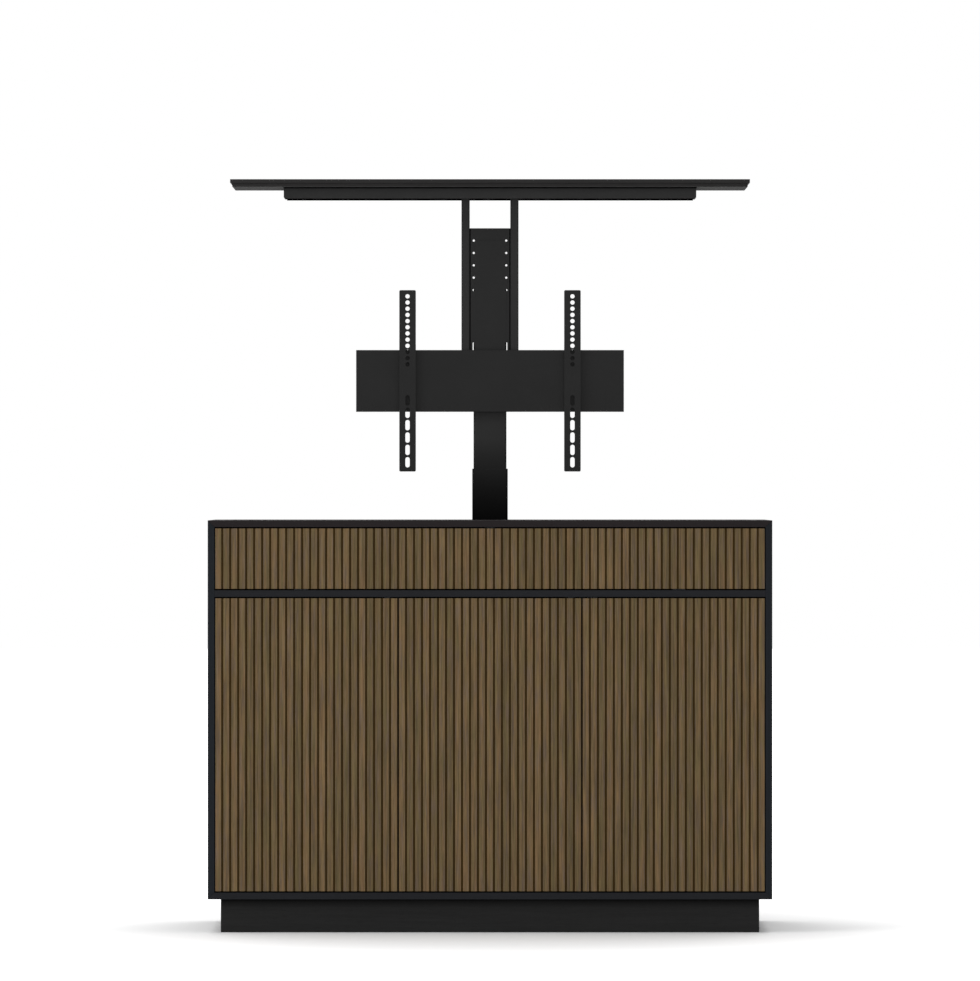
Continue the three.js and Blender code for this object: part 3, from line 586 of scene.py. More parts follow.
class FinishTree:
    """A material's nodes on object coordinates, with short ways to add and link them."""

    def __init__(self, name, roughness, specular=0.5, metallic=0.0):
        self.material = bpy.data.materials.new(name)
        self.material.use_nodes = True
        self.nodes = self.material.node_tree.nodes
        self.links = self.material.node_tree.links
        self.shader = self.nodes["Principled BSDF"]
        self.feed("Roughness", roughness)
        self.feed("Specular IOR Level", specular)
        self.feed("Metallic", metallic)
        self.place = self.nodes.new("ShaderNodeTexCoord").outputs["Object"]

    def link(self, socket, value):
        if isinstance(value, bpy.types.NodeSocket):
            self.links.new(value, socket)
        else:
            socket.default_value = value

    def feed(self, socket, value):
        """Sets or links one of the shader's own sockets."""
        self.link(self.shader.inputs[socket], value)

    def add(self, kind, inputs, output=0, **settings):
        node = self.nodes.new("ShaderNode" + kind)
        for key, value in settings.items():
            setattr(node, key, value)
        for key, value in inputs.items():
            self.link(node.inputs[key], value)
        return node.outputs[output]

    def sum(self, operation, *values):
        return self.add("Math", dict(enumerate(values)), operation=operation)

    def vector(self, operation, *values):
        return self.add("VectorMath", dict(enumerate(values)), operation=operation)

    def coordinate(self, axis):
        return self.add("SeparateXYZ", {0: self.place}, output=axis)

    def noise(self, scales, detail=2.0, roughness=0.5, shift=None):
        """Noise that is stretched along the axes with a low scale."""
        at = self.vector("MULTIPLY", self.place, scales)
        if shift is not None:
            at = self.vector("ADD", at, shift)
        return self.add(
            "TexNoise", {"Vector": at, "Scale": 1.0, "Detail": detail, "Roughness": roughness}
        )

    def range(self, value, low, high, to_low=0.0, to_high=1.0):
        inputs = {0: value, 1: low, 2: high, 3: to_low, 4: to_high}
        return self.add("MapRange", inputs, clamp=True)

    def mix(self, share, first, second, blend="MIX"):
        inputs = {0: share, 6: first, 7: second}
        return self.add("Mix", inputs, output=2, data_type="RGBA", blend_type=blend)

    def shade(self, base, value, reach, tints):
        """A colour made darker or lighter, from one tint to the other over a reach of a value."""
        share = self.range(value, *reach, *tints)
        grey = self.add("CombineColor", {0: share, 1: share, 2: share})
        return self.mix(1.0, base, grey, blend="MULTIPLY")

    def bump(self, height, strength, distance):
        inputs = {"Height": height, "Strength": strength, "Distance": distance}
        self.feed("Normal", self.add("Bump", inputs))

    def texture(self, base, cloud, tints, relief, gloss, strength, depth, reach=SPREAD):
        """Varies the colour by a cloud, and the roughness and the surface by a fine relief."""
        self.feed("Base Color", self.shade(base, cloud, SPREAD, tints))
        self.feed("Roughness", self.range(relief, *reach, *gloss))
        self.bump(relief, strength, depth)
        return self.material


def slat_wood(finishes, fronts):
    """Veneered slats: each has its own tone and its own stretch of grain, which runs upright."""
    upper_row, layer = 7.3, 0.5  # seeds: the first tells the flap's slats from the doors'
    grain_shift, own_hue = (40.0, 40.0, 40.0), 0.13
    hues, greys, streaks, pore_reach = (0.45, 0.7), (0.48, 0.66), (0.34, 0.66), (0.56, 0.68)
    slat_tints, streak_tints, pore_tints = (0.86, 1.09), (0.7, 1.28), (1.0, 0.78)
    groove_start, groove_end = fronts.slat_depth * 0.5, fronts.slat_depth * 0.9
    tree = FinishTree("slat_wood", roughness=0.5, specular=0.1)
    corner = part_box("front_flap")[0]
    across = tree.sum("SUBTRACT", tree.coordinate(X), corner.x - fronts.slat_gap / 2)
    slat = tree.sum("FLOOR", tree.sum("DIVIDE", across, fronts.slat_pitch))
    upper = tree.sum("GREATER_THAN", tree.coordinate(Z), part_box("middle_rail")[0].z)
    row = tree.sum("MULTIPLY", upper, upper_row)
    seed = {"Vector": tree.add("CombineXYZ", {0: slat, 1: row, 2: layer})}
    own = tree.add("TexWhiteNoise", seed, noise_dimensions="3D")
    drawn = tree.add("TexWhiteNoise", seed, output=1, noise_dimensions="3D")
    tint = tree.add("SeparateColor", {0: drawn})
    shift = tree.vector("MULTIPLY", drawn, grain_shift)
    bands = tree.noise((130, 60, 10), detail=4, roughness=0.6, shift=shift)
    faded = tree.noise((170, 70, 15), detail=3, roughness=0.6, shift=shift)
    streak = tree.noise((230, 80, 8), detail=4, roughness=0.65, shift=shift)
    pores = tree.range(tree.noise((1900, 600, 42), shift=shift), *pore_reach)
    hue = tree.sum("ADD", tree.sum("MULTIPLY", own, own_hue), bands)
    base = tree.mix(tree.range(hue, *hues), finishes.slat_ochre, finishes.slat_brown)
    base = tree.mix(tree.range(faded, *greys), base, finishes.slat_grey)
    base = tree.shade(base, tint, WHOLE, slat_tints)
    base = tree.shade(base, streak, streaks, streak_tints)
    base = tree.shade(base, pores, WHOLE, pore_tints)
    # painted shade: the slats' sides turn to the groove colour towards their root
    depth = tree.sum("SUBTRACT", tree.coordinate(Y), corner.y)
    sunk = tree.range(depth, groove_start, groove_end)
    tree.feed("Base Color", tree.mix(sunk, base, finishes.groove_stain))
    tree.feed("Roughness", tree.range(streak, *SPREAD, to_low=0.46, to_high=0.6))
    tree.bump(tree.sum("SUBTRACT", streak, pores), strength=0.25, distance=0.2 * MM)
    return tree.material


def board_finish(name, base, grain_axis, painted_shadow=None):
    """Dark stained veneer with a faint grain along one axis.

    Where two heights are given for a painted shadow, it darkens to black from the first to the
    second.
    """
    band_tints, pore_tints, pore_reach = (0.84, 1.14), (1.0, 0.7), (0.55, 0.7)
    tree = FinishTree(name, roughness=0.55, specular=0.06)
    bands = tree.noise(stretched(grain_axis, 7.0, 130.0), detail=4, roughness=0.6)
    pores = tree.range(tree.noise(stretched(grain_axis, 40.0, 1500.0)), *pore_reach)
    shown = tree.shade(base, bands, SPREAD, band_tints)
    shown = tree.shade(shown, pores, WHOLE, pore_tints)
    # painted shadow: darkens to black between the two heights
    if painted_shadow:
        shown = tree.shade(shown, tree.coordinate(Z), painted_shadow, tints=(1.0, 0.0))
    tree.feed("Base Color", shown)
    tree.feed("Roughness", tree.range(bands, *SPREAD, to_low=0.5, to_high=0.62))
    tree.bump(tree.sum("SUBTRACT", bands, pores), strength=0.2, distance=0.15 * MM)
    return tree.material


def coat_finish(name, base, roughness, specular):
    """Powder coat: an even colour over a very fine orange peel."""
    tree = FinishTree(name, roughness, specular)
    cloud, peel = tree.noise((14, 14, 14), detail=3), tree.noise((1100, 1100, 1100))
    tints, gloss = (0.94, 1.06), (roughness - 0.05, roughness + 0.07)
    return tree.texture(base, cloud, tints, peel, gloss, strength=0.12, depth=0.08 * MM)


def tube_finish(finishes):
    """The column's satin coat, with painted shade that turns it deeper black towards the cabinet.
    """
    fade_height, fade_curve = 0.2, 1.6
    tree = FinishTree("tube_coat", roughness=0.4, specular=0.01)
    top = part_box("top_panel")[1].z
    # painted shade: over the lowest 0.2 m above the cabinet's top, the coat turns to the near-black
    # foot colour
    rise = tree.range(tree.coordinate(Z), top, top + fade_height)
    lit = tree.sum("POWER", rise, fade_curve)
    base = tree.mix(lit, finishes.tube_painted_shade, finishes.tube_coat)
    cloud, peel = tree.noise((14, 14, 14), detail=3), tree.noise((2200, 2200, 2200))
    tints, gloss = (0.94, 1.06), (0.36, 0.48)
    return tree.texture(base, cloud, tints, peel, gloss, strength=0.12, depth=0.05 * MM)


def plated_finish(name, base, brushed_axis):
    """Plated or machined metal, faintly brushed along one axis."""
    tree = FinishTree(name, roughness=0.3, metallic=1.0)
    lines = tree.noise(stretched(brushed_axis, 60.0, 2600.0))
    cloud = tree.noise((90, 90, 90), detail=3)
    tints, gloss = (0.9, 1.05), (0.26, 0.44)
    return tree.texture(base, cloud, tints, lines, gloss, strength=0.08, depth=0.03 * MM)


def plastic_finish(name, base):
    """Moulded plastic with a fine spark texture."""
    tree = FinishTree(name, roughness=0.5, specular=0.12)
    cloud, grit = tree.noise((30, 30, 30)), tree.noise((2400, 2400, 2400), detail=1)
    tints, gloss, reach = (0.95, 1.05), (0.45, 0.6), (0.35, 0.65)
    return tree.texture(
        base, cloud, tints, grit, gloss, strength=0.15, depth=0.05 * MM, reach=reach
    )


def make_finishes(scene):
    """Makes each finish from the colour of the same name."""
    tones = scene.cabinet_finishes
    plinth_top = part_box("plinth_front")[1].z
    # painted shadow: the plinth darkens to black towards its top, as the shade under the carcass's
    # overhang
    plinth_painted_shadow = plinth_top - 22 * MM, plinth_top - 2 * MM
    boards = {  # the axis of the grain, and the heights of the painted shadow on the plinth's top
        "groove_stain": (Z,),
        "side_board": (Z,),
        "top_board": (X,),
        "rail_board": (X,),
        "lid_board": (X,),
        "plinth_board": (X, plinth_painted_shadow),
    }
    coats = {  # roughness and specular
        "black_coat": (0.5, 0.1),
        "frame_coat": (0.5, 0.1),
        "carrier_coat": (0.5, 0.1),
        "tray_inside": (0.8, 0.0),
    }
    finish_of["slat_wood"] = slat_wood(tones, scene.cabinet_fronts)
    finish_of["tube_coat"] = tube_finish(tones)
    plastics = {"black_plastic": (), "grey_plastic": ()}
    metals = {"bright_steel": (Z,), "bronze": (Z,), "nickel": (Y,)}  # the axis of the brushing
    for kind, settings in (
        (board_finish, boards),
        (coat_finish, coats),
        (plastic_finish, plastics),
        (plated_finish, metals),
    ):
        for name, values in settings.items():
            finish_of[name] = kind(name, getattr(tones, name), *values)


# Carcass and plinth


def plain_board(node, name, finish, sizes):
    """Makes a board with square ends and no openings."""
    board = ease(add_box(name, *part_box(node)), sizes.edge_round)
    dress(board, "cabinet", "dark_board", finish, node)


class CABINET_OT_carcass(bpy.types.Operator):
    """Makes the mitred boards of the carcass, with the lid's opening in the top"""

    bl_idname = "cabinet.carcass"
    bl_label = "Carcass Boards"

    mitred = (  # node, name, finish, which end of the axis across it is inside, and both axes
        ("left_side_panel", "left_side", "side_board", 1, X, Z),
        ("right_side_panel", "right_side", "side_board", 0, X, Z),
        ("top_panel", "top", "top_board", 0, Z, X),
        ("bottom_panel", "bottom", "rail_board", 1, Z, X),
    )

    def execute(self, context):
        sizes = context.scene.cabinet_boards
        for node, name, finish, inside, axis, end_axis in self.mitred:
            board = add_box(name, *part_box(node))
            self.mitre_ends(board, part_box(node), inside, axis, end_axis, sizes.thickness)
            if node == "top_panel":
                self.open_top(board, sizes)
            ease(board, sizes.edge_round)
            dress(board, "cabinet", "dark_board", finish, node)
        plain_board("middle_rail", "rail", "rail_board", sizes)
        plain_board("well_partition", "partition", "rail_board", sizes)
        plain_board("left_divider", "left_upright", "side_board", sizes)
        plain_board("right_divider", "right_upright", "side_board", sizes)
        return {"FINISHED"}

    def mitre_ends(self, board, box, inside, axis, end_axis, depth):
        """Shortens a board's inner face at both ends, so that the ends slope."""
        face = box[inside][axis]
        middle = (box[0][end_axis] + box[1][end_axis]) / 2
        for sign in SIDES:

            def is_inner_end(vert):
                return abs(vert.co[axis] - face) < NEAR and (vert.co[end_axis] - middle) * sign > 0

            choose(board, "VERT", is_inner_end)
            bpy.ops.transform.translate(value=along(end_axis, -sign * depth))
        finish_edit()

    def open_top(self, board, sizes):
        """Cuts the lid's opening with a ledge under the lid's rebated edge."""
        lid_low, lid_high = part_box("lid")
        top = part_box("top_panel")[1].z
        clear = Vector((sizes.lid_clearance, sizes.lid_clearance, 0))
        step = Vector((sizes.lid_rebate, sizes.lid_rebate, 0))
        low, high = lid_low - clear, lid_high + clear
        low.z = top - (lid_high.z - lid_low.z) / 2 - sizes.slide_clearance
        high.z = top + sizes.thickness
        upper = add_box("upper_opening", low, high)
        low, high = low + step, high - step
        low.z = top - 2 * sizes.thickness
        carve(board, upper, add_box("lower_opening", low, high))


class CABINET_OT_back(bpy.types.Operator):
    """Makes the back board with its cord ports and vent slots"""

    bl_idname = "cabinet.back"
    bl_label = "Back Board"

    def execute(self, context):
        sizes = context.scene.cabinet_boards
        low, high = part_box("back_panel")
        back = add_box("back", low, high)
        thickness = high.y - low.y
        y, depth = (low.y + high.y) / 2, 3 * thickness  # the cutters reach past both faces
        cutters = []
        for side in SIDES:
            port = (side * sizes.port_place, y, sizes.port_rise)
            size = sizes.port_width, sizes.port_height
            cutters.append(add_stadium("port", port, *size, depth, X))
            for row in range(sizes.vent_rows):
                vent = (side * sizes.vent_place, y, sizes.vent_rise - row * sizes.vent_pitch)
                size = sizes.vent_width, sizes.vent_height
                cutters.append(add_stadium("vent", vent, *size, depth, X))
        carve(back, merge("cutters", *cutters))
        ease(back, sizes.edge_round)
        dress(back, "cabinet", "dark_board", "rail_board", "back_panel")
        return {"FINISHED"}


class CABINET_OT_plinth(bpy.types.Operator):
    """Makes the four boards of the inset plinth"""

    bl_idname = "cabinet.plinth"
    bl_label = "Plinth"

    def execute(self, context):
        sizes = context.scene.cabinet_boards
        for place in ("front", "back", "left", "right"):
            plain_board("plinth_" + place, "base_" + place, "plinth_board", sizes)
        return {"FINISHED"}


class CABINET_OT_shelves(bpy.types.Operator):
    """Makes the three shelves and the pins that carry them"""

    bl_idname = "cabinet.shelves"
    bl_label = "Shelves"

    pin_radius = 2.5 * MM
    pin_reach = 9 * MM
    pin_inset = 30 * MM
    pin_round = 0.4 * MM

    def execute(self, context):
        places = []
        for node in ("left_shelf", "centre_shelf", "right_shelf"):
            plain_board(node, node + "_board", "rail_board", context.scene.cabinet_boards)
            low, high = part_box(node)
            for x, turn in ((low.x, 1), (high.x, -1)):
                for y in (low.y + self.pin_inset, high.y - self.pin_inset):
                    places.append(turned_to((x, y, low.z - self.pin_radius), (turn, 0, 0)))
        pin = add_post("pin", self.pin_radius, 0, self.pin_reach, sides=20)
        pins = spread(ease(pin, self.pin_round), "shelf_pins", places)
        dress(pins, "cabinet", "bright_steel", "bright_steel")
        return {"FINISHED"}


# Fronts and their fittings

# What begins its latch's names is push. Its hinged edge lies on an axis, and inward is the side of
# that edge on which the front is.
Front = namedtuple("Front", "name node push hinges first_slat slats axis inward")
DOORS = 3
SLATS_PER_DOOR = 23


def door(name, index, inward):
    hinges = (name + "_hinge_lower", name + "_hinge_upper")
    node, first = name + "_door", index * SLATS_PER_DOOR
    return Front(name, node, node, hinges, first, SLATS_PER_DOOR, X, inward)


FLAP_HINGES = ("flap_hinge_left", "flap_hinge_right")
FRONTS = (
    door("left", 0, 1),
    door("centre", 1, 1),
    door("right", 2, -1),
    Front("flap", "front_flap", "flap", FLAP_HINGES, 0, DOORS * SLATS_PER_DOOR, Z, 1),
)


def hinged_edge(front, low, high):
    """The end of a box that is on the front's hinged side, as a place on the front's axis."""
    return (low if front.inward > 0 else high)[front.axis]


def cup_places(front, sizes):
    """Where a front's hinge cups are let into its back."""
    low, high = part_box(front.node)
    for hinge in front.hinges:
        place = sum(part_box(hinge), Vector()) / 2
        place.y = low.y + sizes.slat_depth + sizes.board_thickness
        place[front.axis] = hinged_edge(front, low, high) + front.inward * sizes.cup_setback
        yield place


class CABINET_OT_fronts(bpy.types.Operator):
    """Makes the three slatted doors and the slatted flap"""

    bl_idname = "cabinet.fronts"
    bl_label = "Slatted Fronts"

    sunk = 0.3 * MM  # how deep the slats stand in their board, and how far inside its ends
    bore_clearance = 0.3 * MM  # round a cup
    bore_spare = 2 * MM  # how much deeper than its cup a bore is
    board_round = 0.5 * MM

    def execute(self, context):
        sizes = context.scene.cabinet_fronts
        for front in FRONTS:
            name = front.name + "_leaf"
            leaf = merge(name, self.board(name, front, sizes), self.slats(front, sizes))
            dress(leaf, name, "slat_wood", None, front.node)
        return {"FINISHED"}

    def board(self, name, front, sizes):
        """The board behind the slats with bores for the hinge cups."""
        low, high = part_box(front.node)
        face = low.y + sizes.slat_depth
        back = face + sizes.board_thickness
        board = add_box(name, (low.x, face, low.z), (high.x, back, high.z))
        for place in cup_places(front, sizes):
            bottom = place - along(Y, sizes.cup_depth + self.bore_spare)
            top = place + along(Y, self.bore_spare)
            radius = sizes.cup_radius + self.bore_clearance
            carve(board, add_rod("bore", radius, bottom, top, sides=48))
        paint(ease(board, self.board_round), "side_board", "groove_stain")
        # painted shade: the board's face between the slats takes the groove colour
        choose(board, "FACE", facing(Y, -1, face))
        paint_chosen(board, 1)
        finish_edit()
        return board

    def slats(self, front, sizes):
        low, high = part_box(front.node)
        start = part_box("front_flap")[0].x + front.first_slat * sizes.slat_pitch
        end = start + sizes.slat_pitch - sizes.slat_gap
        root = low.y + sizes.slat_depth + self.sunk
        slat = add_box("slats", (start, low.y, low.z + self.sunk), (end, root, high.z - self.sunk))
        bevel(slat, "EDGE", runs_along(Z, (Y, low.y)), sizes.slat_round)
        apply_modifier(
            slat,
            "ARRAY",
            count=front.slats,
            use_relative_offset=False,
            use_constant_offset=True,
            constant_offset_displace=(sizes.slat_pitch, 0, 0),
        )
        return paint(shade(slat), "slat_wood")


class CABINET_OT_cups(bpy.types.Operator):
    """Makes the hinge cups that are let into the fronts"""

    bl_idname = "cabinet.cups"
    bl_label = "Hinge Cups"

    flange = 1 * MM
    bottom = 0.8 * MM
    edge_round = 0.3 * MM
    screw_radius = 3.4 * MM
    screw_height = 0.3 * MM

    def execute(self, context):
        sizes = context.scene.cabinet_fronts
        cup = self.cup(sizes)
        for front in FRONTS:
            roll = math.pi / 2 if front.axis == Z else 0.0
            places = [turned_to(place, BACKWARDS, roll) for place in cup_places(front, sizes)]
            cups = spread(twin(cup), front.name + "_cups", places)
            dress(cups, front.name + "_leaf", "bright_steel", "nickel")
        bpy.data.objects.remove(cup)
        return {"FINISHED"}

    def cup(self, sizes):
        """A cup with its bowl below z = 0 and its two ears along y."""
        plate = add_post("cup", sizes.flange_radius, 0, self.flange, sides=48)
        ear_places = [(0, sign * sizes.ear_reach) for sign in SIDES]
        ears = [
            add_post("ear", sizes.ear_radius, 0, self.flange, centre=place)
            for place in ear_places
        ]
        half = Vector((sizes.ear_radius, sizes.ear_reach, 0))
        bridge = add_box("bridge", -half, half + along(Z, self.flange))
        bowl = add_post("bowl", sizes.cup_radius, -sizes.cup_depth, 0, sides=48)
        fuse(plate, *ears, bridge, bowl)
        floor = self.bottom - sizes.cup_depth
        carve(plate, add_post("hollow", sizes.cup_bore, floor, BEYOND, sides=48))
        ease(plate, self.edge_round)
        places = placed([(*place, self.flange) for place in ear_places], UP)
        screw = pan_screw(self.screw_radius, self.screw_height)
        return merge("cup", plate, spread(screw, "screws", places))


class CABINET_OT_hinges(bpy.types.Operator):
    """Makes the hinge arms with their mounting plates and screws"""

    bl_idname = "cabinet.hinges"
    bl_label = "Hinge Arms"

    plate_screws = 11 * MM  # from the arm's middle line to each of a plate's screws
    plate_rise, plate_reach = 2 * MM, 41 * MM  # of those screws, over the board and backwards
    arm_rise, arm_reach = 11 * MM, 50 * MM  # of the screw in the arm
    screw_radius, screw_height = 3.6 * MM, 1.6 * MM
    edge_round = 0.35 * MM

    def execute(self, context):
        for front in FRONTS:
            outward = along(front.axis, front.inward)
            across = X if front.axis == Z else Z
            for node in front.hinges:
                low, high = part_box(node)
                root = (low + high) / 2
                root.y = low.y
                root[front.axis] = hinged_edge(front, low, high)
                arm = ease(copy_of(node, node + "_arm"), self.edge_round)
                plate = root + outward * self.plate_rise + along(Y, self.plate_reach)
                points = [plate + along(across, sign * self.plate_screws) for sign in SIDES]
                points.append(root + outward * self.arm_rise + along(Y, self.arm_reach))
                screw = pan_screw(self.screw_radius, self.screw_height)
                screws = spread(screw, "screws", placed(points, outward))
                arm = merge(node + "_arm", arm, screws)
                dress(arm, "cabinet", "bright_steel", "nickel", node)
        return {"FINISHED"}


class CABINET_OT_latches(bpy.types.Operator):
    """Makes the push latches and their plungers"""

    bl_idname = "cabinet.latches"
    bl_label = "Push Latches"

    housing_round = 0.5 * MM
    flange = 2.5 * MM
    screw_across, screw_reach = 9.75 * MM, 39 * MM  # from the middle, and behind the front end
    screw_radius, screw_height = 2.5 * MM, 1.5 * MM
    tip_round, rear_round = 1.2 * MM, 0.2 * MM

    def execute(self, context):
        for front in FRONTS:
            self.housing(front.push + "_latch")
            self.plunger(front.push + "_plunger", front.push + "_button")
        return {"FINISHED"}

    def housing(self, node):
        low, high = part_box(node)
        name = node + "_housing"
        housing = paint(ease(copy_of(node, name), self.housing_round), "grey_plastic")
        middle, y, z = (low.x + high.x) / 2, low.y + self.screw_reach, high.z - self.flange
        places = placed([(middle + sign * self.screw_across, y, z) for sign in SIDES], DOWN)
        screw = pan_screw(self.screw_radius, self.screw_height)
        housing = fasten(name, housing, screw, places)
        dress(housing, "cabinet", "grey_plastic", None, node)

    def plunger(self, node, body):
        low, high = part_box(node)
        x, z, radius = (low.x + high.x) / 2, (low.z + high.z) / 2, (high.x - low.x) / 2
        plunger = add_rod(node + "_pin", radius, (x, low.y, z), (x, high.y, z), sides=40)
        bevel(plunger, "FACE", facing(Y, -1), self.tip_round)
        ease(plunger, self.rear_round)
        dress(plunger, body, "black_plastic", "black_plastic", node)


# Lift


class CABINET_OT_drive(bpy.types.Operator):
    """Makes the base plate, gearbox, motor and brace of the lift"""

    bl_idname = "cabinet.drive"
    bl_label = "Lift Drive"

    motor_foot = 6 * MM
    motor_bolts, motor_bolt_ring = 4, 31.5 * MM
    motor_steps = (  # how far the profile goes inwards and up, in millimetres
        (5, 0),
        (0, 12),
        (1.2, 0),
        (0, 2),
        (-1.2, 0),
        (0, 64),
        (1.2, 0),
        (0, 2),
        (-1.2, 0),
        (0, 16),
        (4, 6),
        (3, 6),
        (14, 0),
        (0, 5),
    )

    def execute(self, context):
        self.base_plate()
        self.gearbox()
        self.motor()
        self.brace()
        return {"FINISHED"}

    def dress_steel(self, name, part, bolt, places, node):
        """Bolts a part, which gets the black coat, and hands it in."""
        part = fasten(name, paint(part, "black_coat"), bolt, places)
        dress(part, "cabinet", "black_steel", None, node)

    def base_plate(self):
        low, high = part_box("lift_base_plate")
        plate = ease(add_rounded_bar("base_plate", low, high, radius=10 * MM), width=0.6 * MM)
        places = placed(corners(low, high, inset=15 * MM, axis=Z, place=high.z), UP)
        bolt = hex_bolt(radius=6 * MM, height=5 * MM)
        self.dress_steel("base_plate", plate, bolt, places, "lift_base_plate")

    def gearbox(self):
        """Two rounded halves with a seam between them, bored for the lower screw."""
        low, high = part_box("gearbox_housing")
        middle = (low.z + high.z) / 2
        seam, inset, corner = 0.6 * MM, 1 * MM, 12 * MM
        step = Vector((inset, inset, inset))
        lower = add_rounded_bar("gearbox", low, (high.x, high.y, middle - seam), corner)
        upper = add_rounded_bar("cover", (low.x, low.y, middle + seam), high, corner)
        bevel(upper, "FACE", facing(Z, 1), width=3 * MM)
        core = add_rounded_bar("core", low + step, high - step, corner - inset)
        for half in (lower, upper):
            ease(half, width=0.8 * MM)
        fuse(lower, upper, core)
        screw_low, screw_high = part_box("lower_screw")
        centre, depth, clearance = (screw_low + screw_high) / 2, 2 * MM, 0.3 * MM
        radius, foot = centre.x - screw_low.x + clearance, screw_low.z - depth
        carve(lower, add_post("bearing", radius, foot, high.z + BEYOND, centre=centre.xy))
        shade(lower)
        places = placed(corners(low, high, inset=9 * MM, axis=Z, place=high.z), UP)
        bolt = socket_bolt(radius=4 * MM, height=4 * MM)
        self.dress_steel("gearbox", lower, bolt, places, "gearbox_housing")

    def motor(self):
        """A round foot, drawn up into a body with two grooves, sloping shoulders and a cap."""
        low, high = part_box("drive_motor")
        centre = ((low + high) / 2).xy
        radius, face = (high.x - low.x) / 2, low.z + self.motor_foot
        motor = add_post("motor", radius, low.z, face, sides=56, centre=centre)
        choose(motor, "FACE", facing(Z, 1))
        for inward, up in self.motor_steps:
            push_out(along(Z, up * MM))
            share = (radius - inward * MM) / radius
            bpy.ops.transform.resize(value=(share, share, 1))
            radius -= inward * MM
        finish_edit()
        ease(motor, width=0.7 * MM)
        points = []
        for index in range(self.motor_bolts):
            turn = (index + 0.5) * math.tau / self.motor_bolts
            out = self.motor_bolt_ring * Vector((math.cos(turn), math.sin(turn)))
            points.append((*(centre + out), face))
        bolt = socket_bolt(radius=2.2 * MM, height=3 * MM)
        self.dress_steel("motor", motor, bolt, placed(points, UP), "drive_motor")

    def brace(self):
        low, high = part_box("column_brace")
        foot, plate = 16 * MM, 3 * MM
        brace = ease(copy_of("column_brace", "brace"), width=0.6 * MM)
        y, z = high.y - plate, (low.z + high.z) / 2
        places = placed([(low.x + foot, y, z), (high.x - foot, y, z)], FORWARDS)
        screw = pan_screw(radius=5 * MM, height=3 * MM)
        self.dress_steel("brace", brace, screw, places, "column_brace")


class CABINET_OT_control_box(bpy.types.Operator):
    """Makes the lift's control box with its socket, cooling slits and cover screws"""

    bl_idname = "cabinet.control_box"
    bl_label = "Control Box"

    seam_place = 12 * MM  # from the box's back
    seam = 0.6 * MM
    socket_half_width, socket_half_depth, socket_height = 14 * MM, 10 * MM, 18 * MM
    slits = 6
    slit_pitch = 7 * MM
    slit_shift = 38 * MM  # from the box's middle
    slit_size = (52 * MM, 2.4 * MM, 4 * MM)  # along x, upright and along y

    def execute(self, context):
        low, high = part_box("control_box")
        middle = (low + high) / 2
        box = add_rounded_bar("control_cover", low, high, radius=5 * MM)
        bevel(box, "FACE", facing(Y, -1, low.y), width=2 * MM)
        carve(box, self.seam_ring(low, high), self.socket(middle, low.z))
        slits = []
        for index in range(self.slits):
            rise = (index - (self.slits - 1) / 2) * self.slit_pitch
            place = (middle.x + self.slit_shift, low.y, middle.z + rise)
            slits.append(add_stadium("slit", place, *self.slit_size, X))
        carve(box, merge("cutters", *slits))
        paint(ease(box, width=0.35 * MM), "black_plastic")
        places = placed(corners(low, high, inset=9 * MM, axis=Y, place=low.y), FORWARDS)
        screw = pan_screw(radius=3 * MM, height=1.6 * MM)
        box = fasten("control_cover", box, screw, places)
        dress(box, "cabinet", "black_plastic", None, "control_box")
        return {"FINISHED"}

    def seam_ring(self, low, high):
        """A frame that cuts the seam between the cover and the back of the box."""
        seam = self.seam
        front = high.y - self.seam_place
        low = Vector((low.x - seam, front, low.z - seam))
        high = Vector((high.x + seam, front + seam, high.z + seam))
        inset = Vector((2 * seam, -seam, 2 * seam))
        return carve(add_box("ring", low, high), add_box("core", low + inset, high - inset))

    def socket(self, middle, foot):
        x, y = self.socket_half_width, self.socket_half_depth
        low = (middle.x - x, middle.y - y, foot - MM)
        return add_box("socket", low, (middle.x + x, middle.y + y, foot + self.socket_height))


COLUMN_BODIES = {  # the body that each piece of the column moves with
    "outer_tube": "cabinet",
    "middle_tube": "middle_stage",
    "inner_tube": "lift_carriage",
    "outer_glide_collar": "cabinet",
    "middle_glide_collar": "middle_stage",
    "middle_tube_plug": "middle_stage",
    "inner_tube_nut": "lift_carriage",
}


class CABINET_OT_column(bpy.types.Operator):
    """Makes the column's three tubes with their collars, plug and nut"""

    bl_idname = "cabinet.column"
    bl_label = "Telescopic Column"

    edge_round = 0.3 * MM

    def execute(self, context):
        sizes = context.scene.cabinet_lift
        for node, body in COLUMN_BODIES.items():
            if node.endswith("_tube"):
                walls = sizes.tube_wall, sizes.tube_corner
                tube = add_tube(node + "_profile", *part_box(node), *walls)
                dress(tube, body, "black_steel", "tube_coat", node)
                continue
            part = ease(copy_of(node, node + "_part"), self.edge_round)
            if node.endswith("collar"):
                dress(part, body, "black_plastic", "black_plastic", node)
            else:
                dress(part, body, "bright_steel", "bronze", node)
        return {"FINISHED"}


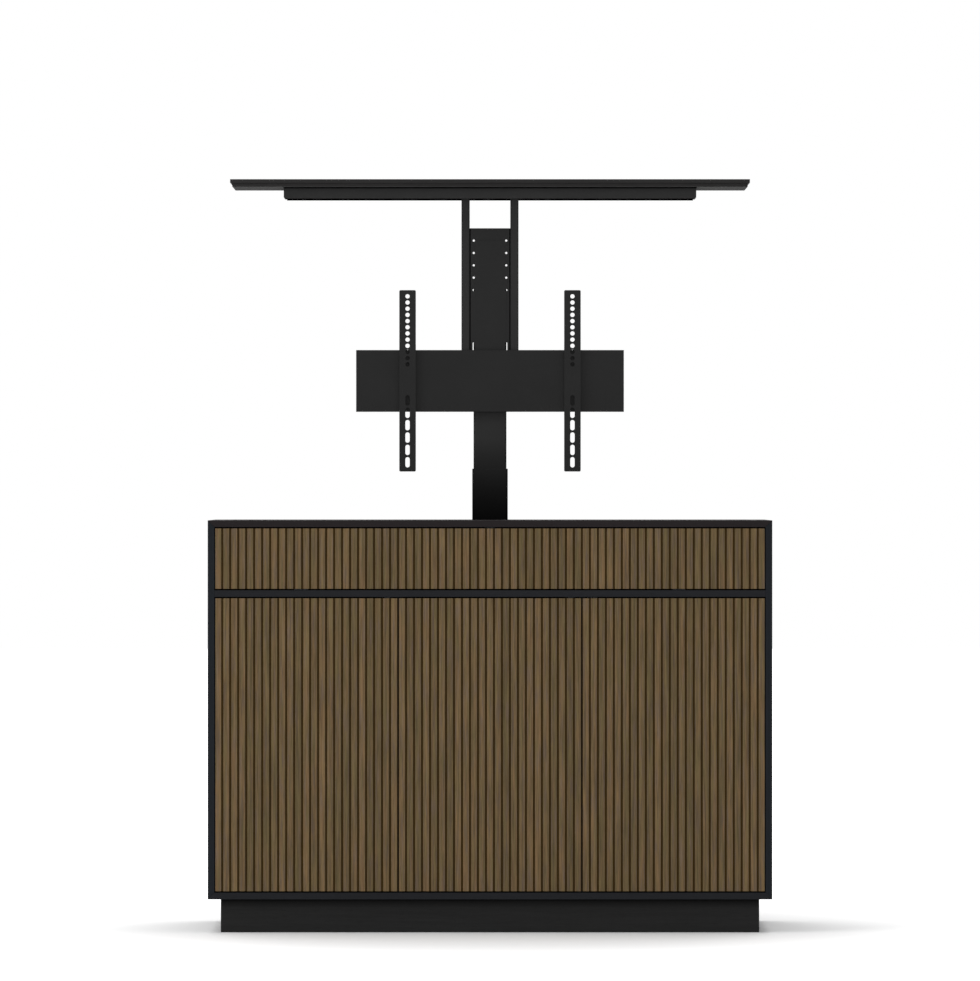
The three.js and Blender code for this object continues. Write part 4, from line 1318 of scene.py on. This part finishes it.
class CABINET_OT_screws(bpy.types.Operator):
    """Makes the two lifting screws with their threads"""

    bl_idname = "cabinet.screws"
    bl_label = "Lifting Screws"

    root_share = 0.6  # how much of the pitch a ridge takes at its root
    crest_share = 0.5  # how much of the root's width is left at the crest
    root_sink = 0.5 * MM
    turn_steps = 24

    def execute(self, context):
        sizes = context.scene.cabinet_lift
        for node, seat in (("lower_screw", "gearbox_housing"), ("upper_screw", "middle_tube_plug")):
            self.screw(node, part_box(seat)[1].z + sizes.screw_plain, sizes)
        return {"FINISHED"}

    def screw(self, node, foot, sizes):
        """Turns a CAD shaft down to its core from a height up and winds a thread there."""
        low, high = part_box(node)
        name, centre = node + "_shaft", ((low + high) / 2).xy
        top, full = high.z - sizes.screw_plain, (high.x - low.x) / 2
        core = full - sizes.thread_depth
        shaft = copy_of(node, name)
        ring = add_post("ring", full + sizes.thread_depth, foot, top, centre=centre)
        carve(ring, add_post("core", core, low.z, high.z, centre=centre))
        carve(shaft, ring)
        thread = self.thread(core, full, top - foot - sizes.screw_plain, sizes)
        thread.location = (*centre, foot + sizes.screw_plain / 2)
        shaft = merge(name, shaft, settle(thread, "thread"))
        dress(shaft, name, "bright_steel", "bright_steel", node)

    def thread(self, core, full, height, sizes):
        """Ridges with sloping flanks, wound upwards side by side round the z axis."""
        root, crest = core - self.root_sink, full - NEAR
        lead, starts = sizes.thread_lead, sizes.thread_starts
        width = self.root_share * lead / starts
        bpy.ops.mesh.primitive_plane_add(size=1, rotation=(math.pi / 2, 0, 0))
        ridge = bpy.context.object
        ridge.scale = (crest - root, width, 1)
        settle(ridge, "ridge")
        choose(ridge, "VERT", lambda vert: vert.co.x > 0)
        bpy.ops.transform.resize(value=(1, 1, self.crest_share))
        bpy.ops.mesh.select_all(action="SELECT")
        bpy.ops.mesh.delete(type="ONLY_FACE")
        finish_edit()
        ridge.location = ((root + crest) / 2, 0, width / 2)
        settle(ridge, "ridge")
        apply_modifier(
            ridge,
            "SCREW",
            axis="Z",
            angle=math.tau,
            screw_offset=lead,
            iterations=int(height / lead),
            steps=self.turn_steps,
            render_steps=self.turn_steps,
            use_normal_calculate=True,
        )
        choose(ridge, "VERT", lambda vert: False)
        bpy.ops.mesh.select_non_manifold()
        bpy.ops.mesh.fill_holes(sides=4)
        bpy.ops.mesh.select_all(action="SELECT")
        bpy.ops.mesh.normals_make_consistent(inside=False)
        finish_edit()
        turns = [Matrix.Rotation(start * math.tau / starts, 4, "Z") for start in range(starts)]
        return spread(ridge, "thread", turns)


class CABINET_OT_spine(bpy.types.Operator):
    """Makes the folded spine between the uprights, and the column's head"""

    bl_idname = "cabinet.spine"
    bl_label = "Spine and Head"

    spine_round, head_round = 0.4 * MM, 0.5 * MM
    bar_bolts = 40 * MM  # above and below the bar's middle
    head_plate = 6 * MM
    head_bolts = 14 * MM  # to either side of the middle
    head_rises = (24 * MM, 48 * MM)  # of the bolts in its tab
    head_setback = 12 * MM  # of the bolts in its plate, from the back

    def execute(self, context):
        sizes = context.scene.cabinet_lift
        low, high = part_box("spine_plate")
        half = high.x - sizes.spine_lip
        row = half - sizes.spine_hole_edge
        spine = self.pan(low, high, half, sizes)
        carve(spine, self.holes(low, high, row, sizes))
        paint(ease(spine, self.spine_round), "black_coat", "tray_inside")
        # painted shade: the fronts of the lips beside the pan are painted near-black, as the shadow
        # gap there
        choose(spine, "FACE", facing(Y, -1, high.y - sizes.plate))
        paint_chosen(spine, 1)
        finish_edit()
        bar_low, bar_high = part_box("mount_bar")
        middle, y = (bar_low.z + bar_high.z) / 2, low.y + sizes.plate
        rises = (-self.bar_bolts, self.bar_bolts)
        points = [(side * row, y, middle + rise) for side in SIDES for rise in rises]
        bolt = hex_bolt(radius=3.4 * MM, height=3.2 * MM)
        spine = fasten("spine", spine, bolt, placed(points, BACKWARDS))
        dress(spine, "lift_carriage", "black_steel", None, "spine_plate")
        self.head()
        return {"FINISHED"}

    def pan(self, low, high, half, sizes):
        """A channel that is open at the back, with a lip along each side."""
        spine = add_box("spine", (-half, low.y, low.z), (half, high.y, high.z))
        inner, wall = half - sizes.tube_wall, sizes.tube_wall
        floor, beyond = low.y + sizes.plate, high.y + BEYOND
        channel = (-inner, floor, low.z - BEYOND), (inner, beyond, high.z + BEYOND)
        carve(spine, add_box("channel", *channel))
        lips = []
        for sign in SIDES:
            start, end = sorted((sign * (half - wall / 2), sign * high.x))
            face = high.y - sizes.plate
            lips.append(add_box("lip", (start, face, low.z), (end, high.y, high.z)))
        return fuse(spine, *lips)

    def holes(self, low, high, row, sizes):
        """Cutters for the two rows of bolt holes and the slot under each of them."""
        cutters = []
        start, end = low.y - BEYOND, high.y + BEYOND
        slot_low, slot_high = low.z + sizes.spine_slot_rise, high.z - sizes.spine_slot_drop
        size = sizes.spine_slot_width, slot_high - slot_low
        for x in (-row, row):
            for index in range(1, sizes.spine_holes + 1):
                z = high.z - index * sizes.spine_hole_pitch
                cutters.append(add_rod("hole", sizes.spine_hole, (x, start, z), (x, end, z)))
            centre = (x, low.y, (slot_low + slot_high) / 2)
            cutters.append(add_stadium("slot", centre, *size, 4 * BEYOND, Z))
        return merge("cutters", *cutters)

    def head(self):
        """The head between the inner tube and the spine, with bolts in its tab and its plate."""
        low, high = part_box("column_head")
        head = paint(ease(copy_of("column_head", "head"), self.head_round), "black_coat")
        columns = [side * self.head_bolts for side in SIDES]
        tab, plate = low.y + self.head_plate, low.z + self.head_plate
        back = high.y - self.head_setback
        points = [(x, tab, low.z + rise) for x in columns for rise in self.head_rises]
        places = placed(points, BACKWARDS) + placed([(x, back, plate) for x in columns], UP)
        head = fasten("head", head, hex_bolt(radius=4 * MM, height=4 * MM), places)
        dress(head, "lift_carriage", "black_steel", None, "column_head")


class CABINET_OT_bar(bpy.types.Operator):
    """Makes the folded bar that carries the arms"""

    bl_idname = "cabinet.bar"
    bl_label = "Mount Bar"

    def execute(self, context):
        wall = context.scene.cabinet_lift.plate
        low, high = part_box("mount_bar")
        bar = add_box("bar", low, high)
        inner_low = (low.x - BEYOND, low.y + wall, low.z + wall)
        inner_high = (high.x + BEYOND, high.y + BEYOND, high.z - wall)
        carve(bar, add_box("channel", inner_low, inner_high))
        ease(bar, width=0.7 * MM, segments=3)
        dress(bar, "lift_carriage", "black_steel", "black_coat", "mount_bar")
        return {"FINISHED"}


class CABINET_OT_arms(bpy.types.Operator):
    """Makes the two hooked arms with their holes and slots"""

    bl_idname = "cabinet.arms"
    bl_label = "Mounting Arms"

    slide = 0.3 * MM  # the arms' clearance on the bar
    edge_round = 0.4 * MM

    def execute(self, context):
        arm = self.arm(context.scene.cabinet_lift)
        for side in ("left", "right"):
            node = side + "_arm"
            low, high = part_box(node)
            place = Matrix.Translation(((low.x + high.x) / 2, 0, 0))
            copy = spread(twin(arm), side + "_mounting_arm", [place])
            dress(copy, side + "_mount_arm", "black_steel", "black_coat", node)
        bpy.data.objects.remove(arm)
        return {"FINISHED"}

    def arm(self, sizes):
        """An arm at its depth and height, over x = 0."""
        low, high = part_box("left_arm")
        half, wall, corner = (high.x - low.x) / 2, sizes.arm_wall, sizes.arm_corner
        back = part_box("mount_bar")[0].y - self.slide
        outside = (-half, low.y, low.z), (half, back, high.z)
        arm = add_rounded_bar("arm", *outside, corner, axis=Y, segments=3)
        trough_low = (wall - half, low.y + wall, low.z - BEYOND)
        trough_high = (half - wall, back + BEYOND, high.z + BEYOND)
        carve(arm, add_box("trough", trough_low, trough_high))
        ends = [runs_along(X, (Y, back), (Z, place)) for place in (low.z, high.z)]
        bevel(arm, "EDGE", lambda edge: any(end(edge) for end in ends), corner)
        fuse(arm, *self.hooks(half, high.y, back - wall, sizes))
        carve(arm, self.holes(low, high, sizes))
        return ease(arm, self.edge_round)

    def hooks(self, half, back, front, sizes):
        """On each flange, a hook over the bar with its drop behind it, and a toe under the bar."""
        bar_low, bar_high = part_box("mount_bar")
        top, foot = bar_high.z + self.slide, bar_low.z - self.slide
        height, behind = sizes.hook_height, back - sizes.hook_plate
        hooks = []
        for sign in SIDES:
            start, end = sorted((sign * half, sign * (half - sizes.arm_wall)))
            hook = add_box("hook", (start, front, top), (end, back, top + height))
            bevel(hook, "EDGE", runs_along(X, (Y, back), (Z, top + height)), sizes.arm_corner)
            drop_ends = (start, behind, top - sizes.hook_drop), (end, back, top + height / 2)
            toe_ends = (start, front, foot - height), (end, bar_high.y, foot)
            hooks += [hook, add_box("drop", *drop_ends), add_box("toe", *toe_ends)]
        return hooks

    def holes(self, low, high, sizes):
        """Cutters for an arm's row of round holes and the row of slots under them."""
        cutters = []
        for index in range(1, sizes.arm_holes + 1):
            z = high.z - index * sizes.arm_hole_pitch
            ends = (0, low.y - BEYOND, z), (0, low.y + BEYOND, z)
            cutters.append(add_rod("hole", sizes.arm_hole, *ends, sides=28))
        size = sizes.arm_slot_width, sizes.arm_slot_length
        for index in range(sizes.arm_slots):
            z = low.z + sizes.arm_slot_first + index * sizes.arm_slot_pitch
            cutters.append(add_stadium("slot", (0, low.y, z), *size, 2 * BEYOND, Z))
        return merge("cutters", *cutters)


# Lid


class CABINET_OT_lid(bpy.types.Operator):
    """Makes the lid, its carrier and the two uprights"""

    bl_idname = "cabinet.lid"
    bl_label = "Lid and Carrier"

    trim_reach = 4.6 * MM  # how far in from its ends the carrier is trimmed
    trim_spare = 5 * MM
    carrier_round = 0.5 * MM
    screw_columns = 4
    screw_inset = 40 * MM
    screw_row = 28 * MM  # in front of the carrier's middle and behind it
    screw_radius, screw_height = 4.5 * MM, 2.4 * MM

    def execute(self, context):
        boards, sizes = context.scene.cabinet_boards, context.scene.cabinet_lift
        low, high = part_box("lid")
        split = (low.z + high.z) / 2
        lid = add_box("lid_board", (low.x, low.y, split), high)
        choose(lid, "FACE", facing(Z, -1))
        bpy.ops.mesh.inset(thickness=boards.lid_rebate)
        push_out(along(Z, low.z - split))
        finish_edit()
        paint(ease(lid, boards.edge_round), "lid_board")
        # painted shadow: a black sheet under the lid, in front of the carrier
        lid = merge("lid_board", lid, self.felt(low.z, sizes))
        dress(lid, "lift_carriage", "dark_board", None, "lid")
        self.carrier(sizes)
        walls = sizes.upright_wall, sizes.upright_corner
        for side in ("left", "right"):
            node = side + "_lid_upright"
            tube = add_tube(side + "_upright_tube", *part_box(node), *walls)
            # painted light: the uprights take a brighter copy of the black coat
            dress(tube, "lift_carriage", "black_steel", "frame_coat", node)
        return {"FINISHED"}

    def felt(self, place, sizes):
        """A thin near-black sheet under the lid, in front of the carrier, as a painted shadow
        between them.
        """
        low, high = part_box("lid_carrier")
        foot, top = place - sizes.shadow_sheet_thick, place + sizes.shadow_sheet_thick
        strip = add_box("felt", (low.x, low.y - sizes.shadow_sheet_width, foot), (high.x, low.y, top))
        return paint(strip, "tray_inside")

    def carrier(self, sizes):
        """A tray with its hollow downwards, its inside painted near-black as painted shade, with
        shorter flanges at its ends.
        """
        low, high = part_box("lid_carrier")
        wall = sizes.tray_wall
        # painted light: the carrier takes a brighter copy of the black coat
        tray = paint(add_box("carrier", low, high), "carrier_coat", "tray_inside")
        choose(tray, "FACE", facing(Z, -1))
        bpy.ops.mesh.inset(thickness=wall)
        push_out(along(Z, high.z - low.z - wall))
        bpy.ops.mesh.select_more()
        # painted shade: the tray's inside faces are painted near-black
        paint_chosen(tray, 1)
        choose(tray, "FACE", facing(Z, -1, low.z))
        paint_chosen(tray, 0)
        finish_edit()
        reach, spare, rim = self.trim_reach, self.trim_spare, low.z + sizes.tray_end_trim
        for start, end in ((low.x - spare, low.x + reach), (high.x - reach, high.x + spare)):
            trim_low = (start, low.y - spare, low.z - spare)
            carve(tray, add_box("trim", trim_low, (end, high.y + spare, rim)))
        ease(tray, self.carrier_round)
        first, last = low.x + self.screw_inset, high.x - self.screw_inset
        pitch = (last - first) / (self.screw_columns - 1)
        middle, top = (low.y + high.y) / 2, high.z - wall
        points = [
            (first + column * pitch, middle + side * self.screw_row, top)
            for column in range(self.screw_columns)
            for side in SIDES
        ]
        screw = pan_screw(self.screw_radius, self.screw_height)
        carrier = fasten("carrier", tray, screw, placed(points, DOWN))
        dress(carrier, "lift_carriage", "black_steel", None, "lid_carrier")


# Stage

LAMP_AIM = Vector((0, 0, 0.4))
LAMPS = (  # name, place, width and the setting of its power
    ("key_lamp", (-4.5, -3.0, 4.0), 3.0, "key_power"),
    ("top_lamp", (0.0, 1.4, 6.0), 5.0, "top_power"),
    ("front_lamp", (0.5, -20.0, 2.2), 5.0, "front_power"),
)
WHITE = (1.0, 1.0, 1.0, 1.0)


class CABINET_OT_stage(bpy.types.Operator):
    """Makes the finishes, and sets the camera, the lamps, the white surround and the floor"""

    bl_idname = "cabinet.stage"
    bl_label = "Stage"

    floor_size = 60.0
    floor_white = (0.93, 0.93, 0.93, 1.0)
    floor_tints = (0.995, 1.0)
    near_share = 0.22  # of the shadow's reach, where the floor's own glow begins to grow
    near_glow = 0.05
    sight = 100.0  # how far the camera sees

    def execute(self, context):
        scene = context.scene
        settings = scene.cabinet_stage
        make_finishes(scene)
        scene.view_settings.view_transform = "Standard"
        self.surround(scene, settings.surround)
        for name, place, size, power in LAMPS:
            turn = (LAMP_AIM - Vector(place)).to_track_quat("-Z", "Y").to_euler()
            bpy.ops.object.light_add(type="AREA", location=place, rotation=turn)
            lamp = bpy.context.object
            lamp.name = name
            lamp.data.energy = getattr(settings, power)
            lamp.data.size = size
        place = (0, -settings.camera_distance, settings.camera_height)
        bpy.ops.object.camera_add(location=place, rotation=(math.pi / 2, 0, 0))
        scene.camera = bpy.context.object
        scene.camera.data.lens = settings.lens
        scene.camera.data.clip_end = self.sight
        self.floor(settings.shadow_reach)
        return {"FINISHED"}

    def surround(self, scene, strength):
        """White where the camera looks past everything, and an even soft light besides."""
        world = bpy.data.worlds.new("surround")
        scene.world = world
        world.use_nodes = True
        nodes, links = world.node_tree.nodes, world.node_tree.links
        back = nodes["Background"]
        back.inputs["Color"].default_value = WHITE
        path = nodes.new("ShaderNodeLightPath")
        seen = path.outputs["Is Camera Ray"]
        for output in ("Is Glossy Ray", "Is Transmission Ray"):
            both = nodes.new("ShaderNodeMath")
            both.operation, both.use_clamp = "ADD", True
            links.new(seen, both.inputs[0])
            links.new(path.outputs[output], both.inputs[1])
            seen = both.outputs[0]
        level = nodes.new("ShaderNodeMapRange")
        level.inputs["To Min"].default_value = strength
        links.new(seen, level.inputs["Value"])
        links.new(level.outputs[0], back.inputs["Strength"])

    def floor(self, reach):
        """A white floor that shows the cabinet's shadow, and is plain white farther off."""
        bpy.ops.mesh.primitive_plane_add(size=self.floor_size, location=(0, 0, 0))
        floor = bpy.context.object
        floor.name = "floor"
        tree = FinishTree("floor", roughness=0.9, specular=0.0)
        cloud = tree.noise((3, 3, 3))
        tree.feed("Base Color", tree.shade(self.floor_white, cloud, SPREAD, self.floor_tints))
        tree.feed("Emission Color", WHITE)
        away = tree.add("VectorMath", {0: tree.place}, output=1, operation="LENGTH")
        ramp = {0: away, 1: reach * self.near_share, 2: reach, 3: self.near_glow, 4: 1.0}
        glow = tree.add("MapRange", ramp, clamp=True, interpolation_type="SMOOTHSTEP")
        seen = tree.add("LightPath", {}, output="Is Camera Ray")
        tree.feed("Emission Strength", tree.sum("MULTIPLY", seen, glow))
        floor.data.materials.append(tree.material)
        floor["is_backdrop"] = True


# Registering and running

OPERATORS = (
    CABINET_OT_stage,
    CABINET_OT_carcass,
    CABINET_OT_back,
    CABINET_OT_plinth,
    CABINET_OT_shelves,
    CABINET_OT_fronts,
    CABINET_OT_cups,
    CABINET_OT_hinges,
    CABINET_OT_latches,
    CABINET_OT_drive,
    CABINET_OT_control_box,
    CABINET_OT_column,
    CABINET_OT_screws,
    CABINET_OT_spine,
    CABINET_OT_bar,
    CABINET_OT_arms,
    CABINET_OT_lid,
)


class CABINET_PT_pieces(bpy.types.Panel):
    """Lists the sizes, colours and steps of the cabinet"""

    bl_idname = "CABINET_PT_pieces"
    bl_label = "Television Lift Cabinet"
    bl_space_type = "VIEW_3D"
    bl_region_type = "UI"
    bl_category = "Lift Cabinet"

    def draw(self, context):
        column = self.layout.column()
        for operator in OPERATORS:
            column.operator(operator.bl_idname)
        for group, kind in GROUPS.items():
            box = self.layout.box()
            for name in kind.__annotations__:
                box.prop(getattr(context.scene, group), name)


def register():
    for kind in (*GROUPS.values(), *OPERATORS, CABINET_PT_pieces):
        bpy.utils.register_class(kind)
    for group, kind in GROUPS.items():
        setattr(bpy.types.Scene, group, PointerProperty(type=kind))


def unregister():
    for group in GROUPS:
        delattr(bpy.types.Scene, group)
    for kind in reversed((*GROUPS.values(), *OPERATORS, CABINET_PT_pieces)):
        bpy.utils.unregister_class(kind)


def main():
    register()
    for operator in OPERATORS:
        name = operator.bl_idname.split(".")[1]
        if getattr(bpy.ops.cabinet, name)() != {"FINISHED"}:
            raise RuntimeError("unfinished: " + operator.bl_label)
    boxes = {
        name: [list(corner) for corner in box]
        for name, box in (("cad", cad_bounds), ("visual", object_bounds()))
    }


if __name__ == "__main__":
    main()
